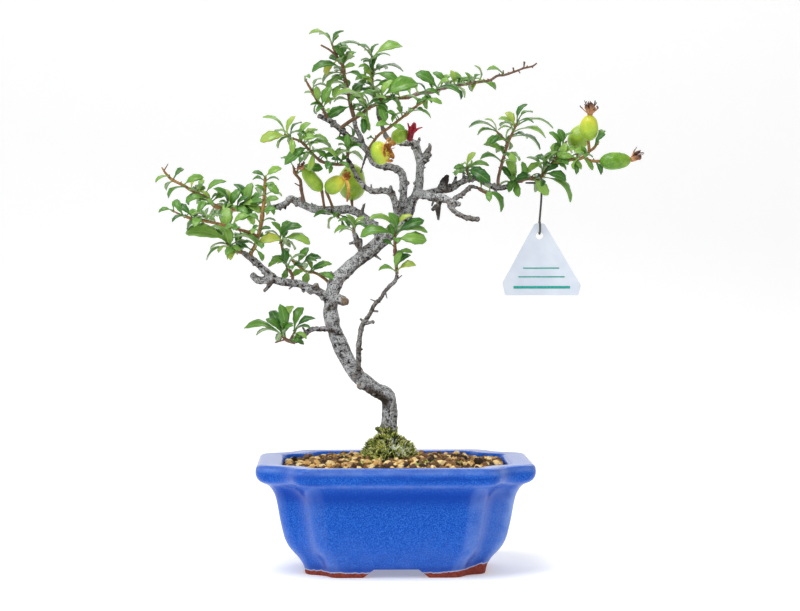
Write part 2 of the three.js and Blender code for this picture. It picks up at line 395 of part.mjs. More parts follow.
// Leafy stems: each holds stems of [x, depth steps, z, radius] points and leaves as
// [root x, root z, tip x, tip z, millimetres that the tip lies behind the root]
const sprays = {
  spray_upright: {
    stems: [
      [[-82.6, -15.7, 178.4, 1.2], [-82, -16, 181.4, 1.2], [-79.6, -17, 185.5, 1.15],
      [-76.8, -17, 195, 1.1],
        [-75.2, -16, 205.8, 1], [-74.3, -15, 215.3, 0.9], [-73.8, -14, 225.2, 0.8]],
    ],
    leaves: [
      [-73.8, 224, -80.8, 227.4, -3], [-73.8, 223, -81, 223.6, 3], [-73.8, 224.4, -65, 229.8, -3],
      [-73.9, 223, -66, 223.6, 3],
      [-74, 219, -68.6, 219.4, -5], [-74.2, 214, -79, 220, -4], [-77, 196, -68.4, 200.4, -4],
      [-80.4, 183.6, -65.6, 189.6, -3],
      [-75.6, 203, -68, 206.6, -5], [-76.4, 198, -84, 203.6, 5],
    ],
  },
  spray_left_low: {
    stems: [
      [[-77.8, -17, 190.4, 0.9], [-83.5, -19, 193, 0.9], [-89, -20, 194.6, 0.85], [-98, -21, 197.2, 0.85],
        [-107.3, -22, 199.2, 0.8], [-113.8, -22, 200.4, 0.7], [-120.3, -22, 202.2, 0.65],
        [-127.6, -21, 205.6, 0.4]],
    ],
    leaves: [
      [-126, 204.8, -134.6, 204.8, -2], [-125, 204.4, -124.2, 212, 3], [-118.4, 201.6, -127, 199.6, -4],
      [-112, 200, -117, 205, -3], [-104, 198.6, -119, 195.6, 5], [-91, 195.2, -84, 203, -3],
      [-94, 196, -87.6, 191, 5],
    ],
  },
  spray_elbow: {
    stems: [[[-86.8, -16, 181.4, 1.2], [-92, -17, 183.2, 1.2], [-96, -17, 187.2, 0.9]]],
    leaves: [
      [-96, 187, -96.4, 207, -6], [-96, 186.8, -78, 193.6, -8], [-95.6, 186.6, -118.6, 193.4, -5],
      [-95.6, 186.6, -104.6, 197, 6],
      [-92, 183.2, -108, 178.6, -3], [-93, 184.2, -105.4, 184.6, 3], [-88.4, 182, -94, 177.6, -6],
      [-92, 183.4, -90, 193, 5],
    ],
  },
  spray_left_long: {
    stems: [
      [[-72.8, 7, 206.6, 1.5], [-84.5, 8, 206.3, 1.4], [-89, 8, 206, 1.4], [-95, 9, 206.4, 1.3],
      [-101.6, 9, 207.6, 1.2],
        [-104.8, 9, 209.8, 1.15], [-107.3, 9, 212.5, 1.1], [-111.8, 10, 214.7, 1.05],
        [-116.1, 10, 217, 1],
        [-120.7, 10, 219.8, 0.9], [-127, 11, 223, 0.8], [-130.6, 11, 226.6, 0.7], [-132.8, 11, 230, 0.4]],
    ],
    leaves: [
      [-128, 224, -136.4, 222, -3], [-127, 223, -120.6, 229.6, 4], [-125, 222, -130.6, 217.4, 3],
      [-117, 217.6, -129.6, 213.6, -5],
      [-120, 219.4, -109.6, 224.6, -4], [-112, 214.8, -109.4, 223.6, 3], [-108, 213, -97, 222.8, -3],
      [-107, 212, -98, 213.6, -7],
      [-96, 206.6, -104.6, 218.6, -6], [-95, 206.4, -96.6, 218, 3], [-93, 206.2, -88.6, 217.4, -4],
      [-91, 206, -84, 213.4, -6],
      [-84.6, 206.4, -91, 221, 3], [-83, 206.4, -82, 221, -4], [-81, 206.4, -78, 214.6, -6],
      [-88, 206, -78.6, 208.8, -9],
      [-74, 206.6, -67, 212.6, -6], [-106, 211, -119, 210.8, -5], [-102.6, 208.4, -113, 205.6, -6],
      [-79, 206.4, -88.4, 200.6, -6], [-82, 206.4, -80.6, 197.6, -5], [-75, 206.6, -66.6, 203.6, -5],
    ],
  },
  spray_elbow_twig: {
    stems: [[[-58.4, -11, 164.8, 0.9], [-58.5, -11, 168.4, 0.9], [-61.2, -10, 173, 0.9],
    [-63, -9, 177.7, 0.85],
      [-64.4, -8, 185, 0.8], [-65.8, -8, 190, 0.6]]],
    leaves: [
      [-65.4, 189, -53.6, 196.8, -3], [-65.6, 189.6, -59.6, 199.4, 3], [-65.6, 189.6, -69.6, 199, -5],
      [-64.8, 187, -48.6, 187.4, -5],
      [-64.6, 186.4, -56.6, 183.6, 6], [-65.2, 188.6, -73.6, 193.4, 4], [-64.2, 184, -63, 175.6, -7],
      [-62.2, 175.8, -72, 173.8, -4],
    ],
  },
  spray_fork_twig: {
    stems: [[[-36.2, -5, 162.4, 0.9], [-40, -4, 166.4, 0.85], [-45.4, -3, 169.7, 0.8],
    [-50.7, -2, 170.6, 0.8],
      [-54.3, -1, 173.2, 0.75], [-58.6, 0, 177, 0.55]]],
    leaves: [
      [-46, 169.8, -36.4, 175.4, -4], [-42.4, 168, -34.6, 166.6, -7], [-50, 170.4, -58.4, 168.4, -4],
      [-54.6, 173.4, -49.6, 184.2, -3],
      [-58, 176.4, -64, 180.6, 6],
    ],
  },
  spray_low_left: {
    stems: [
      [[-57, -13, 129.8, 1.1], [-61.6, -14, 131.2, 1], [-64.6, -14, 133.8, 0.8]],
      [[-60, -13.6, 130.6, 0.8], [-56.6, -12.4, 137, 0.6]],
      [[-62.6, -14, 131.6, 0.6], [-68.4, -14.4, 129.8, 0.3]],
    ],
    leaves: [
      [-64.4, 133.4, -85.6, 139.6, -2], [-64, 133, -79, 135.6, 4], [-64.6, 133.6, -70.4, 148.4, 3],
      [-64.6, 133.6, -73, 143.6, -4],
      [-64.4, 133.6, -58.6, 151.2, 4], [-64.6, 133.8, -64.8, 151.4, -6],
      [-63, 132.6, -59.6, 141.6, -8], [-56.6, 136.8, -53, 150.4, 3],
      [-56.6, 136.8, -46, 144.4, -2], [-56.8, 136.4, -48.6, 139, -5], [-58, 134.4, -50.6, 132.6, -6],
    ],
  },
  spray_side: {
    stems: [[[1.5, -13.2, 169.2, 1], [1.2, -13.2, 172, 0.95], [0.6, -13.2, 178.8, 0.95],
    [0.3, -13, 185.7, 0.9],
      [0.3, -12.4, 190, 0.9], [1, -12, 193.4, 0.6]]],
    leaves: [
      [1.4, 170.6, -8.8, 172, -3], [1.4, 170.6, 12, 174.6, -3], [1.2, 171.6, 3.4, 181.2, -5],
      [1.2, 172, 9, 180.4, 3],
      [0.4, 190, 18.6, 194.2, -3], [0.4, 189, 18, 188.6, -5], [0.3, 189, -19, 191.6, -5],
      [0.8, 192.6, -13.6, 201.6, -4], [0.8, 192.6, -2.6, 204, -6], [1, 193, 9.6, 203, -5],
      [1, 193, 16.6, 200, -3],
    ],
  },
  spray_knob: {
    stems: [[[-23.2, -5.2, 192.6, 1.1], [-23.4, -6, 196, 0.7]]],
    leaves: [
      [-23.4, 195.4, -34.4, 193.4, -4], [-23.4, 195.6, -26.8, 203, -5], [-23.4, 195.6, -18, 202, -4],
      [-23.4, 195.6, -32, 200, 1],
      [-23.3, 195, -15.6, 196, -5],
    ],
  },
  spray_under: {
    stems: [[[-31.6, 3.4, 204.6, 0.8], [-32.4, 1, 201, 0.6]]],
    leaves: [[-32.3, 201.6, -46, 202.8, -4], [-32.2, 201.8, -25.6, 196.6, -3],
    [-32.2, 201.6, -38, 195.6, 5]],
  },
  spray_red_twig: {
    stems: [
      [[-51.6, 4.2, 209, 1], [-52.4, 4, 213, 0.95], [-53.3, 4, 217.5, 0.95], [-53.9, 3, 222.7, 0.9],
      [-56.7, 2, 226.4, 0.8],
        [-58, 1, 231, 0.5]],
      [[-56.2, 2, 225.8, 0.6], [-55, 1, 229.8, 0.45]],
    ],
    leaves: [[-56, 225.6, -43, 230, -9], [-57.6, 229.4, -64.6, 236, 5], [-57.6, 229.6, -52.6, 236.6, 6]],
  },
  spray_tip_c: {
    stems: [[[-27, -5, 235.8, 1], [-26.6, -5, 238.4, 0.8], [-26.8, -5, 240.6, 0.55]]],
    leaves: [
      [-26.8, 240, -33, 247, -3], [-26.8, 240, -26, 248.6, -6], [-26.7, 239.4, -19.6, 243, -6],
      [-26.7, 239, -33.2, 237.6, -5],
      [-26.7, 239.6, -31.6, 243.6, 6],
    ],
  },
  spray_left_upper: {
    stems: [
      [[-25.9, -5, 232, 0.9], [-34, -6, 231.8, 0.9], [-41.6, -7, 233.4, 0.8], [-47, -8, 238, 0.8],
      [-53.3, -8, 244.6, 0.7],
        [-60, -8, 247, 0.6], [-63, -8, 249, 0.45]],
    ],
    leaves: [
      [-62, 248.2, -74.2, 259.6, -3], [-61.6, 248, -57.4, 259.4, -3], [-61, 247.6, -53.6, 256.4, 5],
      [-61.6, 247.8, -76.4, 245.6, -4],
      [-60, 247, -67, 241.6, 4], [-59.4, 246.8, -58.6, 238.6, -7], [-53.6, 244.8, -48.8, 255.6, -4],
      [-53.4, 244.8, -44.6, 252, 4],
      [-53, 244.4, -46, 247.6, -8], [-52.4, 243.6, -38.4, 246.4, -4], [-51.6, 243, -35.6, 241.4, 4],
      [-50, 241.2, -57.6, 236.6, -5],
      [-48.6, 239.8, -44.4, 244.6, -7], [-47, 238, -33.4, 236.8, -5], [-47.4, 238.4, -63, 232.6, -4],
      [-46.4, 237.4, -49, 228.6, -6],
    ],
  },
  spray_apex_left: {
    stems: [[[-38.6, -4.6, 258.4, 1], [-40.4, -5.4, 262.6, 0.95], [-43.4, -6, 267, 0.9],
    [-47.4, -7, 274, 0.8],
      [-51.4, -8, 281, 0.45]]],
    leaves: [
      [-43.4, 267, -51, 273.4, 4], [-42.6, 266, -44.6, 276, -5], [-42, 265, -36.6, 276, -4],
      [-41.4, 264, -34.4, 269.6, -3],
      [-40.6, 263, -47.6, 266.4, -5],
    ],
  },
  spray_apex: {
    stems: [
      [[-23.3, 1, 259.2, 1.25], [-24.9, 1.5, 265, 1.2], [-25.7, 2, 269.5, 1.1], [-26.6, 2, 274, 1.1],
      [-28.5, 1, 281.5, 1],
        [-29.5, 0, 288, 0.9], [-31.8, -1, 291.4, 0.8], [-34, -2, 296, 0.7], [-36, -3, 301, 0.45]],
      [[-32.6, -1.4, 293, 0.7], [-37, -3.4, 297, 0.6], [-42, -5, 299.8, 0.5]],
    ],
    leaves: [
      [-35.8, 300.4, -48.2, 307.4, -4], [-35.4, 299.4, -32.8, 306.6, 3],
      [-29.6, 288.4, -34, 299.4, -5], [-29.6, 288.6, -28.4, 297, -4],
      [-29.6, 288.4, -22.4, 296.6, 3], [-29.4, 287, -46.8, 285.8, -4], [-29, 284.6, -41.4, 279.4, 4],
      [-28.8, 283, -38.2, 274, -4],
      [-27.6, 278, -34.6, 270, -6], [-28.6, 282, -18.6, 281.6, -6], [-29.2, 285.4, -23, 288.8, -5],
      [-26, 271, -18, 270.8, -6],
      [-25, 265.4, -38.4, 258.8, -5], [-26.4, 273, -35.4, 279, 6],
    ],
  },
  spray_rosette: {
    stems: [[[-9.5, 9, 265.6, 1.05], [-11.4, 10, 270, 0.95], [-12.9, 10, 280, 0.9],
    [-12.4, 10, 286, 0.8], [-12.9, 9, 293.4, 0.5]]],
    leaves: [
      [-13, 292, -33, 300.6, -6], [-12.9, 292.8, -20, 300.6, -5], [-12.9, 293, -9.6, 301, 3],
      [-12.7, 292, 4, 300.2, -4],
      [-12.7, 291, -2.6, 295, 5], [-12.6, 289, -19, 291.6, 3], [-12.4, 286, -11, 294, -8],
      [-12.6, 283, 4.8, 286.6, -5],
      [-12.7, 282, 2.6, 279, -8], [-12.6, 283.6, -20, 288, -6], [-12.2, 275, -18.6, 281.6, -6],
      [-12, 274, -0.6, 278.4, -8],
    ],
  },
  spray_crown: {
    stems: [[[-30.6, -3.6, 252.6, 1.1], [-25.4, -5, 256.4, 1.05], [-19.8, -7, 259.8, 1],
    [-14.6, -8, 264, 1], [-10, -8, 266.4, 1],
      [-7, -8, 269.6, 1.3], [0, -6, 269.6, 1], [7.2, -4, 269.8, 1]]],
    leaves: [
      [-14.6, 264.2, -33, 272.6, -4], [-10, 266.6, -18, 273.2, -4], [-6.6, 269.8, 12.6, 278.6, -5],
      [-6, 269.4, 3.4, 263, -5],
      [-16, 262.6, -20.6, 269.6, 4], [-9, 266.8, -5, 257, -6], [-20.4, 259.4, -17.4, 249.8, -5],
      [-13, 265, -8, 275.4, -5],
      [-6.6, 269.8, -1.6, 280, -4],
    ],
  },
  spray_long_shoot: {
    stems: [
      [[7.6, -3.9, 269.8, 1], [13.5, -2, 272.2, 1], [21.5, 0, 273.2, 0.95], [26.6, 2, 275, 0.9],
      [34.9, 5, 276.6, 0.9],
        [44.2, 8, 278.4, 0.85], [54.2, 11, 279.8, 0.8], [58.8, 12, 282.4, 0.75], [63.2, 13, 283, 0.7],
        [68.8, 14, 284.9, 0.65],
        [74, 15, 286.8, 0.6], [79, 16, 288, 0.55], [81.6, 16, 289.8, 0.4]],
      [[74, 15, 286.8, 0.5], [74.6, 14.4, 290.6, 0.4]],
    ],
    leaves: [
      [25, 274.4, 12.8, 284.2, -5], [27, 275.2, 31.6, 283.4, 4], [33.6, 276.4, 32.6, 285.4, -4],
      [24, 274.2, 31, 280.2, -7],
      [21.5, 273.2, 37.4, 273.4, -6], [19, 272.8, 12, 278.6, 4], [12, 271.6, 21.6, 267.8, -5],
      [10, 270.8, 6.6, 276.6, 4],
      [38, 277.2, 36.4, 282.6, 3], [42, 278, 41, 284.4, -3], [45, 278.6, 48.6, 283.6, 2],
      [54, 279.8, 44.4, 275.4, -4],
      [62.6, 283, 53.4, 286.6, -3], [30, 275.8, 38.6, 269.6, -3],
    ],
  },
  spray_cross: {
    stems: [[[-14.9, -3.4, 240.4, 0.8], [-11.4, -7, 245.6, 0.8], [-8.5, -9, 249, 0.8],
    [-2.8, -9.6, 252.9, 0.8],
      [1.9, -9.4, 256.6, 0.8], [7.4, -8.6, 260.8, 0.75], [13, -7.4, 265.4, 0.7], [17.6, -6.4, 268, 0.5]]],
    leaves: [
      [8.4, 261.6, 21, 259.8, -3], [2, 256.8, -5.6, 261.6, -4], [-1, 254.2, -10.4, 254.4, -4],
      [-2, 253.4, 5.6, 252.2, -5],
      [4.4, 258.6, 2.6, 265, 4], [17, 267.6, 27, 267, -4],
    ],
  },
  spray_right_front: {
    stems: [[[48.4, 1, 218, 1.1], [53, 2, 215.8, 1.1], [58, 3, 215.6, 0.8]]],
    leaves: [[49.6, 217.4, 62, 205.8, -3], [55.6, 215.6, 61.6, 209.6, 4]],
  },
  spray_right_cluster: {
    stems: [[[43, 7, 225.4, 0.9], [41.6, 5.6, 228.4, 0.8], [42, 5, 231, 0.5]]],
    leaves: [
      [41.8, 230, 34.2, 230, -4], [42, 230.6, 54, 232, -3], [42, 230.6, 46, 238.6, -4],
      [41.7, 229.6, 52, 226.6, -7],
      [41.7, 229.4, 56, 222.2, -9],
    ],
  },
  spray_right_upright: {
    stems: [
      [[59.4, 8.4, 220.4, 1], [59.6, 7, 224, 1], [61, 5, 230, 0.95], [63.2, 3, 238, 0.9],
      [65.6, 1, 245.3, 0.8],
        [68.5, 0, 251.6, 0.7], [71, -1, 256.8, 0.5]],
      [[65.2, 1.4, 244, 0.6], [58, -1, 251.2, 0.45]],
    ],
    leaves: [
      [71, 256.4, 75.4, 266.6, -3], [70.8, 256.2, 79, 262.6, 4], [70.4, 255, 79.6, 256.6, -4],
      [69, 252.6, 64, 262, 4],
      [68, 250.6, 60.6, 258.6, -5], [58.4, 250.8, 43.2, 254.6, -3], [58.4, 250.6, 47.4, 249.6, 4],
      [58.6, 250.6, 52.6, 258.4, -4],
      [60, 249.2, 55, 244, -6], [63, 237.4, 51.8, 243.8, -3], [61.6, 232, 49.6, 236, -4],
      [64, 240, 69.6, 233.6, -6],
      [66.2, 246.6, 84, 242, -3], [66.8, 248, 76.6, 247.4, 5], [68, 250.6, 86.8, 248.8, -4],
      [70, 254.6, 91, 254.6, 3],
    ],
  },
  spray_right_mid: {
    stems: [[[66, 9, 219.5, 1.5], [70.6, 9, 222.4, 1.5], [76, 9, 224, 1.4], [82.8, 9, 223.8, 1.3],
    [86, 9, 227.3, 1.1],
      [89.8, 9, 231.5, 1.05], [93.2, 8, 236, 1], [96.7, 8, 242, 0.85], [98.8, 8, 245.2, 0.5]]],
    leaves: [
      [67.6, 220.6, 59.4, 228.6, -6], [69, 221.6, 65, 234.8, -4], [70.6, 222.6, 60.6, 224, -8],
      [72, 223, 73.6, 233, -6],
      [75, 224, 84, 232.6, -6], [78, 224, 70.6, 227.6, -8], [84.6, 225.6, 77, 236.6, -4],
      [87, 228.4, 92.6, 239.6, -5], [91, 233.2, 87.6, 243.6, -4], [95.4, 239.8, 89.4, 250.6, -2],
      [96.6, 241.8, 101.6, 250.6, 3], [74, 223.6, 65.6, 216.6, -6], [78, 223.8, 88, 214.6, -6],
      [84, 224.8, 102, 211.8, -4],
      [85, 226, 98.6, 223.4, -4], [90, 231.6, 99, 229, -5],
    ],
  },
  spray_right_end: {
    stems: [
      [[91.2, 8.4, 233, 1], [96, 7, 234, 1], [100, 6, 234.5, 1], [105.6, 5, 235, 1],
      [109, 4, 236.4, 0.95], [111.6, 4, 239.4, 0.9],
        [111.2, 4, 245.6, 0.9]],
      [[111.4, 4, 239, 0.75], [114.6, 4, 241.4, 0.7], [117.4, 4, 245, 0.5]],
      [[108.4, 4.2, 236, 0.8], [113, 3, 234, 0.8], [118, 2.2, 233.7, 0.8]],
      [[105, 5, 235, 0.8], [104.8, 8.6, 238.4, 0.8], [103, 11, 241.6, 0.8]],
    ],
    leaves: [
      [99, 234.4, 107.4, 229.8, -5], [97.6, 234.2, 102.6, 241, -5], [107, 235.6, 114, 229, -3],
      [113, 234, 119, 226.4, -4], [115.4, 242.4, 120.6, 249.6, -3], [110.4, 238, 103.6, 239.4, -7],
      [117, 244.6, 118.6, 254, 3],
    ],
  },
};

// Fruits: root of the stalk where it grows from old wood, stalk end, eye end and greatest radius
const fruits = {
  fruit_upright: { root: null, base: [111.2, 4, 245.2], eye: [112.2, 4, 260], radius: 5.2 },
  fruit_behind: { root: null, base: [101.4, 12.6, 241.4], eye: [111, 14.6, 254], radius: 5.9 },
  fruit_level: { root: null, base: [117.6, 2.2, 233.4], eye: [135.4, 2.2, 234.4], radius: 4.9 },
  fruit_open: {
    root: [-11.5, -3.4, 233.6], base: [-12.6, -9.6, 236.4], eye: [-3.4, -11.6, 240.2], radius: 6.5,
  },
  fruit_short: { root: [-35, 3.6, 206.4], base: [-39, -3, 216.6], eye: [-29.2, -6.4, 223.6], radius: 5.2 },
  fruit_long: { root: [-40, 4, 206.2], base: [-41.6, -2.4, 216.6], eye: [-52, -5, 229], radius: 3.9 },
  fruit_pale: { root: [-24, 2.6, 206], base: [-24.4, 8, 211], eye: [-24, 10, 231.6], radius: 7.6 },
  fruit_crimson: { root: [7, 6.6, 242.8], base: [4.8, 0.6, 243.6], eye: [1.4, -1.4, 252.6], radius: 4.6 },
};

// Dried flowers at the fruits' eyes: foot, direction, reach, petals and how far they open
const driedFlowers = {
  flower_upright: {
    foot: [112.25, 4, 260.6], aim: [0, -0.1, 1],
    reach: 8.6, petalWidth: 3, petals: 6, open: 0.75, seed: 3,
  },
  flower_level: {
    foot: [136, 2.2, 234.4], aim: [0.75, -0.1, 0.65],
    reach: 8.4, petalWidth: 2.6, petals: 5, open: 0.5, seed: 5,
  },
  flower_open: {
    foot: [-2.9, -11.7, 240.4], aim: [1, -0.35, 0.1],
    reach: 6.2, petalWidth: 3.2, petals: 6, open: 1.2, seed: 7,
  },
  flower_short: {
    foot: [-28.7, -6.6, 224], aim: [0.6, -0.6, 0.5],
    reach: 5.4, petalWidth: 2.4, petals: 5, open: 1.1, seed: 11,
  },
  flower_long: {
    foot: [-52.4, -5.1, 229.4], aim: [-0.6, -0.3, 0.7],
    reach: 4.2, petalWidth: 2.2, petals: 5, open: 0.9, seed: 13,
  },
  flower_crimson: {
    foot: [8.6, -2.4, 246], aim: [0.1, -0.1, 1],
    reach: 11.4, petalWidth: 4.4, petals: 5, open: 0.34, seed: 17,
  },
};

// Hang tag and its wire tie
const tagOutline = [
  [80.6, 198.2], [62, 164], [63.4, 156.8], [105.8, 156.8], [107.2, 162.6], [86, 198.2],
];
const tagThickness = 1.2;
const tagPlane = 9;
const tagHole = [83.3, 191];
const tagHoleRadius = 2.1;
const wireRadius = 0.65;
const strandBow = 1.6;
const strandBowDrop = 6;
const tailReach = 7.6;
const tieRingHigh = { centre: place([82.8, tagPlane, 223.8]), radius: 2.6 };
const tieRingLow = { centre: place([83.3, tagPlane, 195.6]), radius: 3.6 };

/** Listed point on a spray's stems nearest to a place seen from the front. */
function nearestOnStems(stems, x, z) {
  let best = null;
  for (const stem of stems) {
    for (let i = 0; i + 1 < stem.length; i += 1) {
      const [ax, ay, az] = stem[i];
      const [bx, by, bz] = stem[i + 1];
      const run = (bx - ax) ** 2 + (bz - az) ** 2;
      const share = Math.min(1, Math.max(0, ((x - ax) * (bx - ax) + (z - az) * (bz - az)) / run));
      const spot = [ax + share * (bx - ax), ay + share * (by - ay), az + share * (bz - az)];
      const distance = (spot[0] - x) ** 2 + (spot[2] - z) ** 2;
      if (best === null || distance < best.distance) best = { distance, spot };
    }
  }
  return best.spot;
}

/** Leaves of a spray as root, tip, facing of the upper side, breadth and roll. */
function leafPlans(spray, seed) {
  const draw = draws(seed);
  const plans = [];
  for (const [rootX, rootZ, tipX, tipZ, behind] of spray.leaves) {
    const x = rootX + rootScatter * (draw() - 0.5);
    const z = rootZ + rootScatter * (draw() - 0.5);
    const spot = nearestOnStems(spray.stems, x, z);
    const root = point(place(spot));
    const tip = point(inLine(tipX, root.y + behind, tipZ));
    const facing = behind > 0 ? facingBack : facingFront;
    const breadth = breadthRange[0] + (breadthRange[1] - breadthRange[0]) * draw();
    plans.push({ root, tip, facing, breadth, roll: rollRange * (draw() - 0.5) });
  }
  return plans;
}

/** Leaf bent by a whole number of steps about its root, as the plant bends it clear of a neighbour. */
function bentTip(plan, step) {
  if (step === 0) return plan.tip;
  const reach = plan.tip.clone().sub(plan.root);
  const axis = step % 2 === 1 ? vec(0, 0, 1) : reach.clone().cross(vec(0, 0, 1)).normalize();
  const sign = step % 4 < 2 ? 1 : -1;
  const angle = sign * 0.16 * (1 + Math.floor(step / 4));
  const shortened = 1 - 0.03 * Math.floor(step / 4);
  return plan.root.clone().add(reach.applyAxisAngle(axis, angle).multiplyScalar(shortened));
}

/** One leaf: a thin blade, thickest at its arched midrib, with notched edges raised a little. */
function leafSolid(plan, step, swell = 0) {
  const tip = bentTip(plan, step);
  const reach = tip.clone().sub(plan.root);
  const length = reach.length();
  const ahead = reach.clone().normalize();
  const skyward = vec(0, plan.facing, 1);
  const side = ahead.clone().cross(skyward).normalize().applyAxisAngle(ahead, plan.roll);
  const lift = side.clone().cross(ahead);
  const control = plan.root.clone().addScaledVector(reach, 0.5).addScaledVector(lift, 2 * bladeArch * length);
  const halfWidth = Math.max(1.6, 0.5 * bladeSlenderness * length * plan.breadth);
  const thick = leafThickness / 2 + swell;
  const sunk = plan.root.clone().addScaledVector(ahead, -rootDepth);
  const along = (t) => sunk.clone().multiplyScalar((1 - t) ** 2)
    .addScaledVector(control, 2 * t * (1 - t)).addScaledVector(tip, t * t);
  const normal = (t) => {
    const slope = control.clone().sub(sunk).multiplyScalar(1 - t);
    slope.addScaledVector(tip.clone().sub(control), t);
    return side.clone().cross(slope.normalize());
  };
  const edge = (t, share, sign) => {
    const half = Math.max(petioleWidth / 2, halfWidth * share) + swell;
    const raised = bladeFold * (half - petioleWidth / 2);
    return along(t).addScaledVector(side, sign * half).addScaledVector(normal(t), raised);
  };
  const points = [along(0), along(1)];
  leafStations.forEach(([t, share]) => points.push(edge(t, share, -1), edge(t, share, 1)));
  const left = (i) => 2 + 2 * i;
  const right = (i) => 3 + 2 * i;
  const last = leafStations.length - 1;
  const top = points.length;
  leafMidribs.forEach((t) => points.push(along(t).addScaledVector(normal(t), thick)));
  const under = points.length;
  leafMidribs.forEach((t) => points.push(along(t).addScaledVector(normal(t), -thick)));
  const triangles = [];
  const face = (mid, flip) => {
    const add = (a, b, c) => triangles.push(...(flip ? [a, c, b] : [a, b, c]));
    add(mid, left(0), 0);
    add(mid, 0, right(0));
    for (const [m, station] of leafEdgeFans) {
      add(mid + m, left(station + 1), left(station));
      add(mid + m, right(station), right(station + 1));
    }
    add(mid, mid + 1, left(midribMeetsStation));
    add(mid, right(midribMeetsStation), mid + 1);
    add(mid + 1, 1, left(last));
    add(mid + 1, right(last), 1);
  };
  face(top, false);
  face(under, true);
  return solidOf(points.flatMap((p) => [p.x, p.y, p.z]), triangles);
}

/** Young fruit: ribbed round body along an axis, with its stalk where it grows straight from old wood. */
function fruitSolid({ root, base, eye, radius }, swell = 0) {
  const low = point(place(base));
  const axis = point(place(eye)).sub(low);
  const length = axis.length();
  axis.normalize();
  const side = axis.clone().cross(Math.abs(axis.z) > 0.9 ? vec(0, 1, 0) : vec(0, 0, 1)).normalize();
  const up = axis.clone().cross(side);
  const steps = [[0, 0.3], [0.16, 0.8], [0.4, 1], [0.68, 0.95], [0.9, 0.66], [1, 0.36]];
  const sides = 8;
  const rings = steps.map(([share, width]) => Array.from({ length: sides }, (unused, k) => {
    const angle = (2 * Math.PI * k) / sides;
    const rib = k % 2 === 0 ? 1.03 : 0.95;
    const reach = radius * width * rib + swell;
    return low.clone().addScaledVector(axis, share * length + swell * (2 * share - 1))
      .addScaledVector(side, reach * Math.cos(angle)).addScaledVector(up, reach * Math.sin(angle));
  }));
  const body = skin(rings);
  if (root === null) return body;
  const inside = low.clone().addScaledVector(axis, 0.3 * length);
  const stalk = [[...place(root), 0.8], [...low.toArray(), 0.9], [...inside.toArray(), 0.9]];
  return body.add(limb(stalk, 4, swell));
}

/** Slim closed blade of eight faces from root to tip, widest at its middle. */
function sliver(root, middle, tip, across, halfWidth, halfThick) {
  const through = tip.clone().sub(root).cross(across).normalize();
  const points = [
    root, tip,
    middle.clone().addScaledVector(across, halfWidth), middle.clone().addScaledVector(through, halfThick),
    middle.clone().addScaledVector(across, -halfWidth), middle.clone().addScaledVector(through, -halfThick),
  ];
  const triangles = [];
  for (let i = 0; i < 4; i += 1) {
    const here = 2 + i;
    const next = 2 + ((i + 1) % 4);
    triangles.push(0, here, next, 1, next, here);
  }
  const solid = solidOf(points.flatMap((p) => [p.x, p.y, p.z]), triangles);
  if (solid.volume() > 0) return solid;
  return solidOf(points.flatMap((p) => [p.x, p.y, p.z]), triangles.reverse());
}

/** Dried flower: short cup with narrow curled petals. */
function driedFlower({ foot, aim, reach, petalWidth, petals, open, seed }) {
  const draw = draws(seed);
  const axis = point(aim).normalize();
  const start = point(place(foot));
  const side = axis.clone().cross(vec(0.3, 1, 0.2)).normalize();
  const up = axis.clone().cross(side);
  const at = (distance, radius, angle) => start.clone().addScaledVector(axis, distance)
    .addScaledVector(side, radius * Math.cos(angle)).addScaledVector(up, radius * Math.sin(angle));
  const around = (angle) => side.clone().multiplyScalar(-Math.sin(angle))
    .addScaledVector(up, Math.cos(angle));
  const cupRadius = petalWidth * 0.62;
  const cup = [[...start.toArray(), cupRadius], [...at(0.3 * reach, 0, 0).toArray(), cupRadius * 0.85]];
  const parts = [limb(cup, 4)];
  for (let i = 0; i < petals; i += 1) {
    const angle = (2 * Math.PI * (i + 0.4 * draw())) / petals;
    const length = reach * (0.75 + 0.25 * draw());
    const bend = open * (0.7 + 0.6 * draw());
    const root = at(0.05 * reach, cupRadius * 0.3, angle);
    const middle = at(0.55 * length, cupRadius * 0.8 + 0.45 * bend * length, angle);
    const tip = at(length, cupRadius * 0.6 + bend * length * 0.8, angle + 0.5 * (draw() - 0.5));
    parts.push(sliver(root, middle, tip, around(angle), petalWidth / 2, 0.45));
  }
  return mainBody(join(parts));
}

/** Closed round wire loop in the YZ plane. */
function wireLoop({ centre, radius }, swell = 0) {
  const geometry = new THREE.TorusGeometry(radius, wireRadius + swell, 4, 10);
  geometry.rotateY(Math.PI / 2);
  geometry.translate(centre[0], centre[1], centre[2]);
  return solidOfGeometry(geometry);
}

/** Wire tie: a loop round the branch with its tail, a hanging strand and a loop through the tag. */
function tieSolid(swell = 0) {
  const high = tieRingHigh.centre;
  const low = tieRingLow.centre;
  const highFoot = high[2] - tieRingHigh.radius;
  const lowHead = low[2] + tieRingLow.radius;
  const strand = [
    [high[0], high[1], highFoot, wireRadius],
    [high[0] + strandBow, high[1], highFoot - strandBowDrop, wireRadius],
    [low[0], low[1], lowHead, wireRadius],
  ];
  const tail = [
    [high[0], high[1], highFoot, wireRadius],
    [high[0] - tailReach, high[1], highFoot, wireRadius],
  ];
  return join([
    wireLoop(tieRingHigh, swell), wireLoop(tieRingLow, swell), limb(strand, 4, swell), limb(tail, 4, swell),
  ]);
}

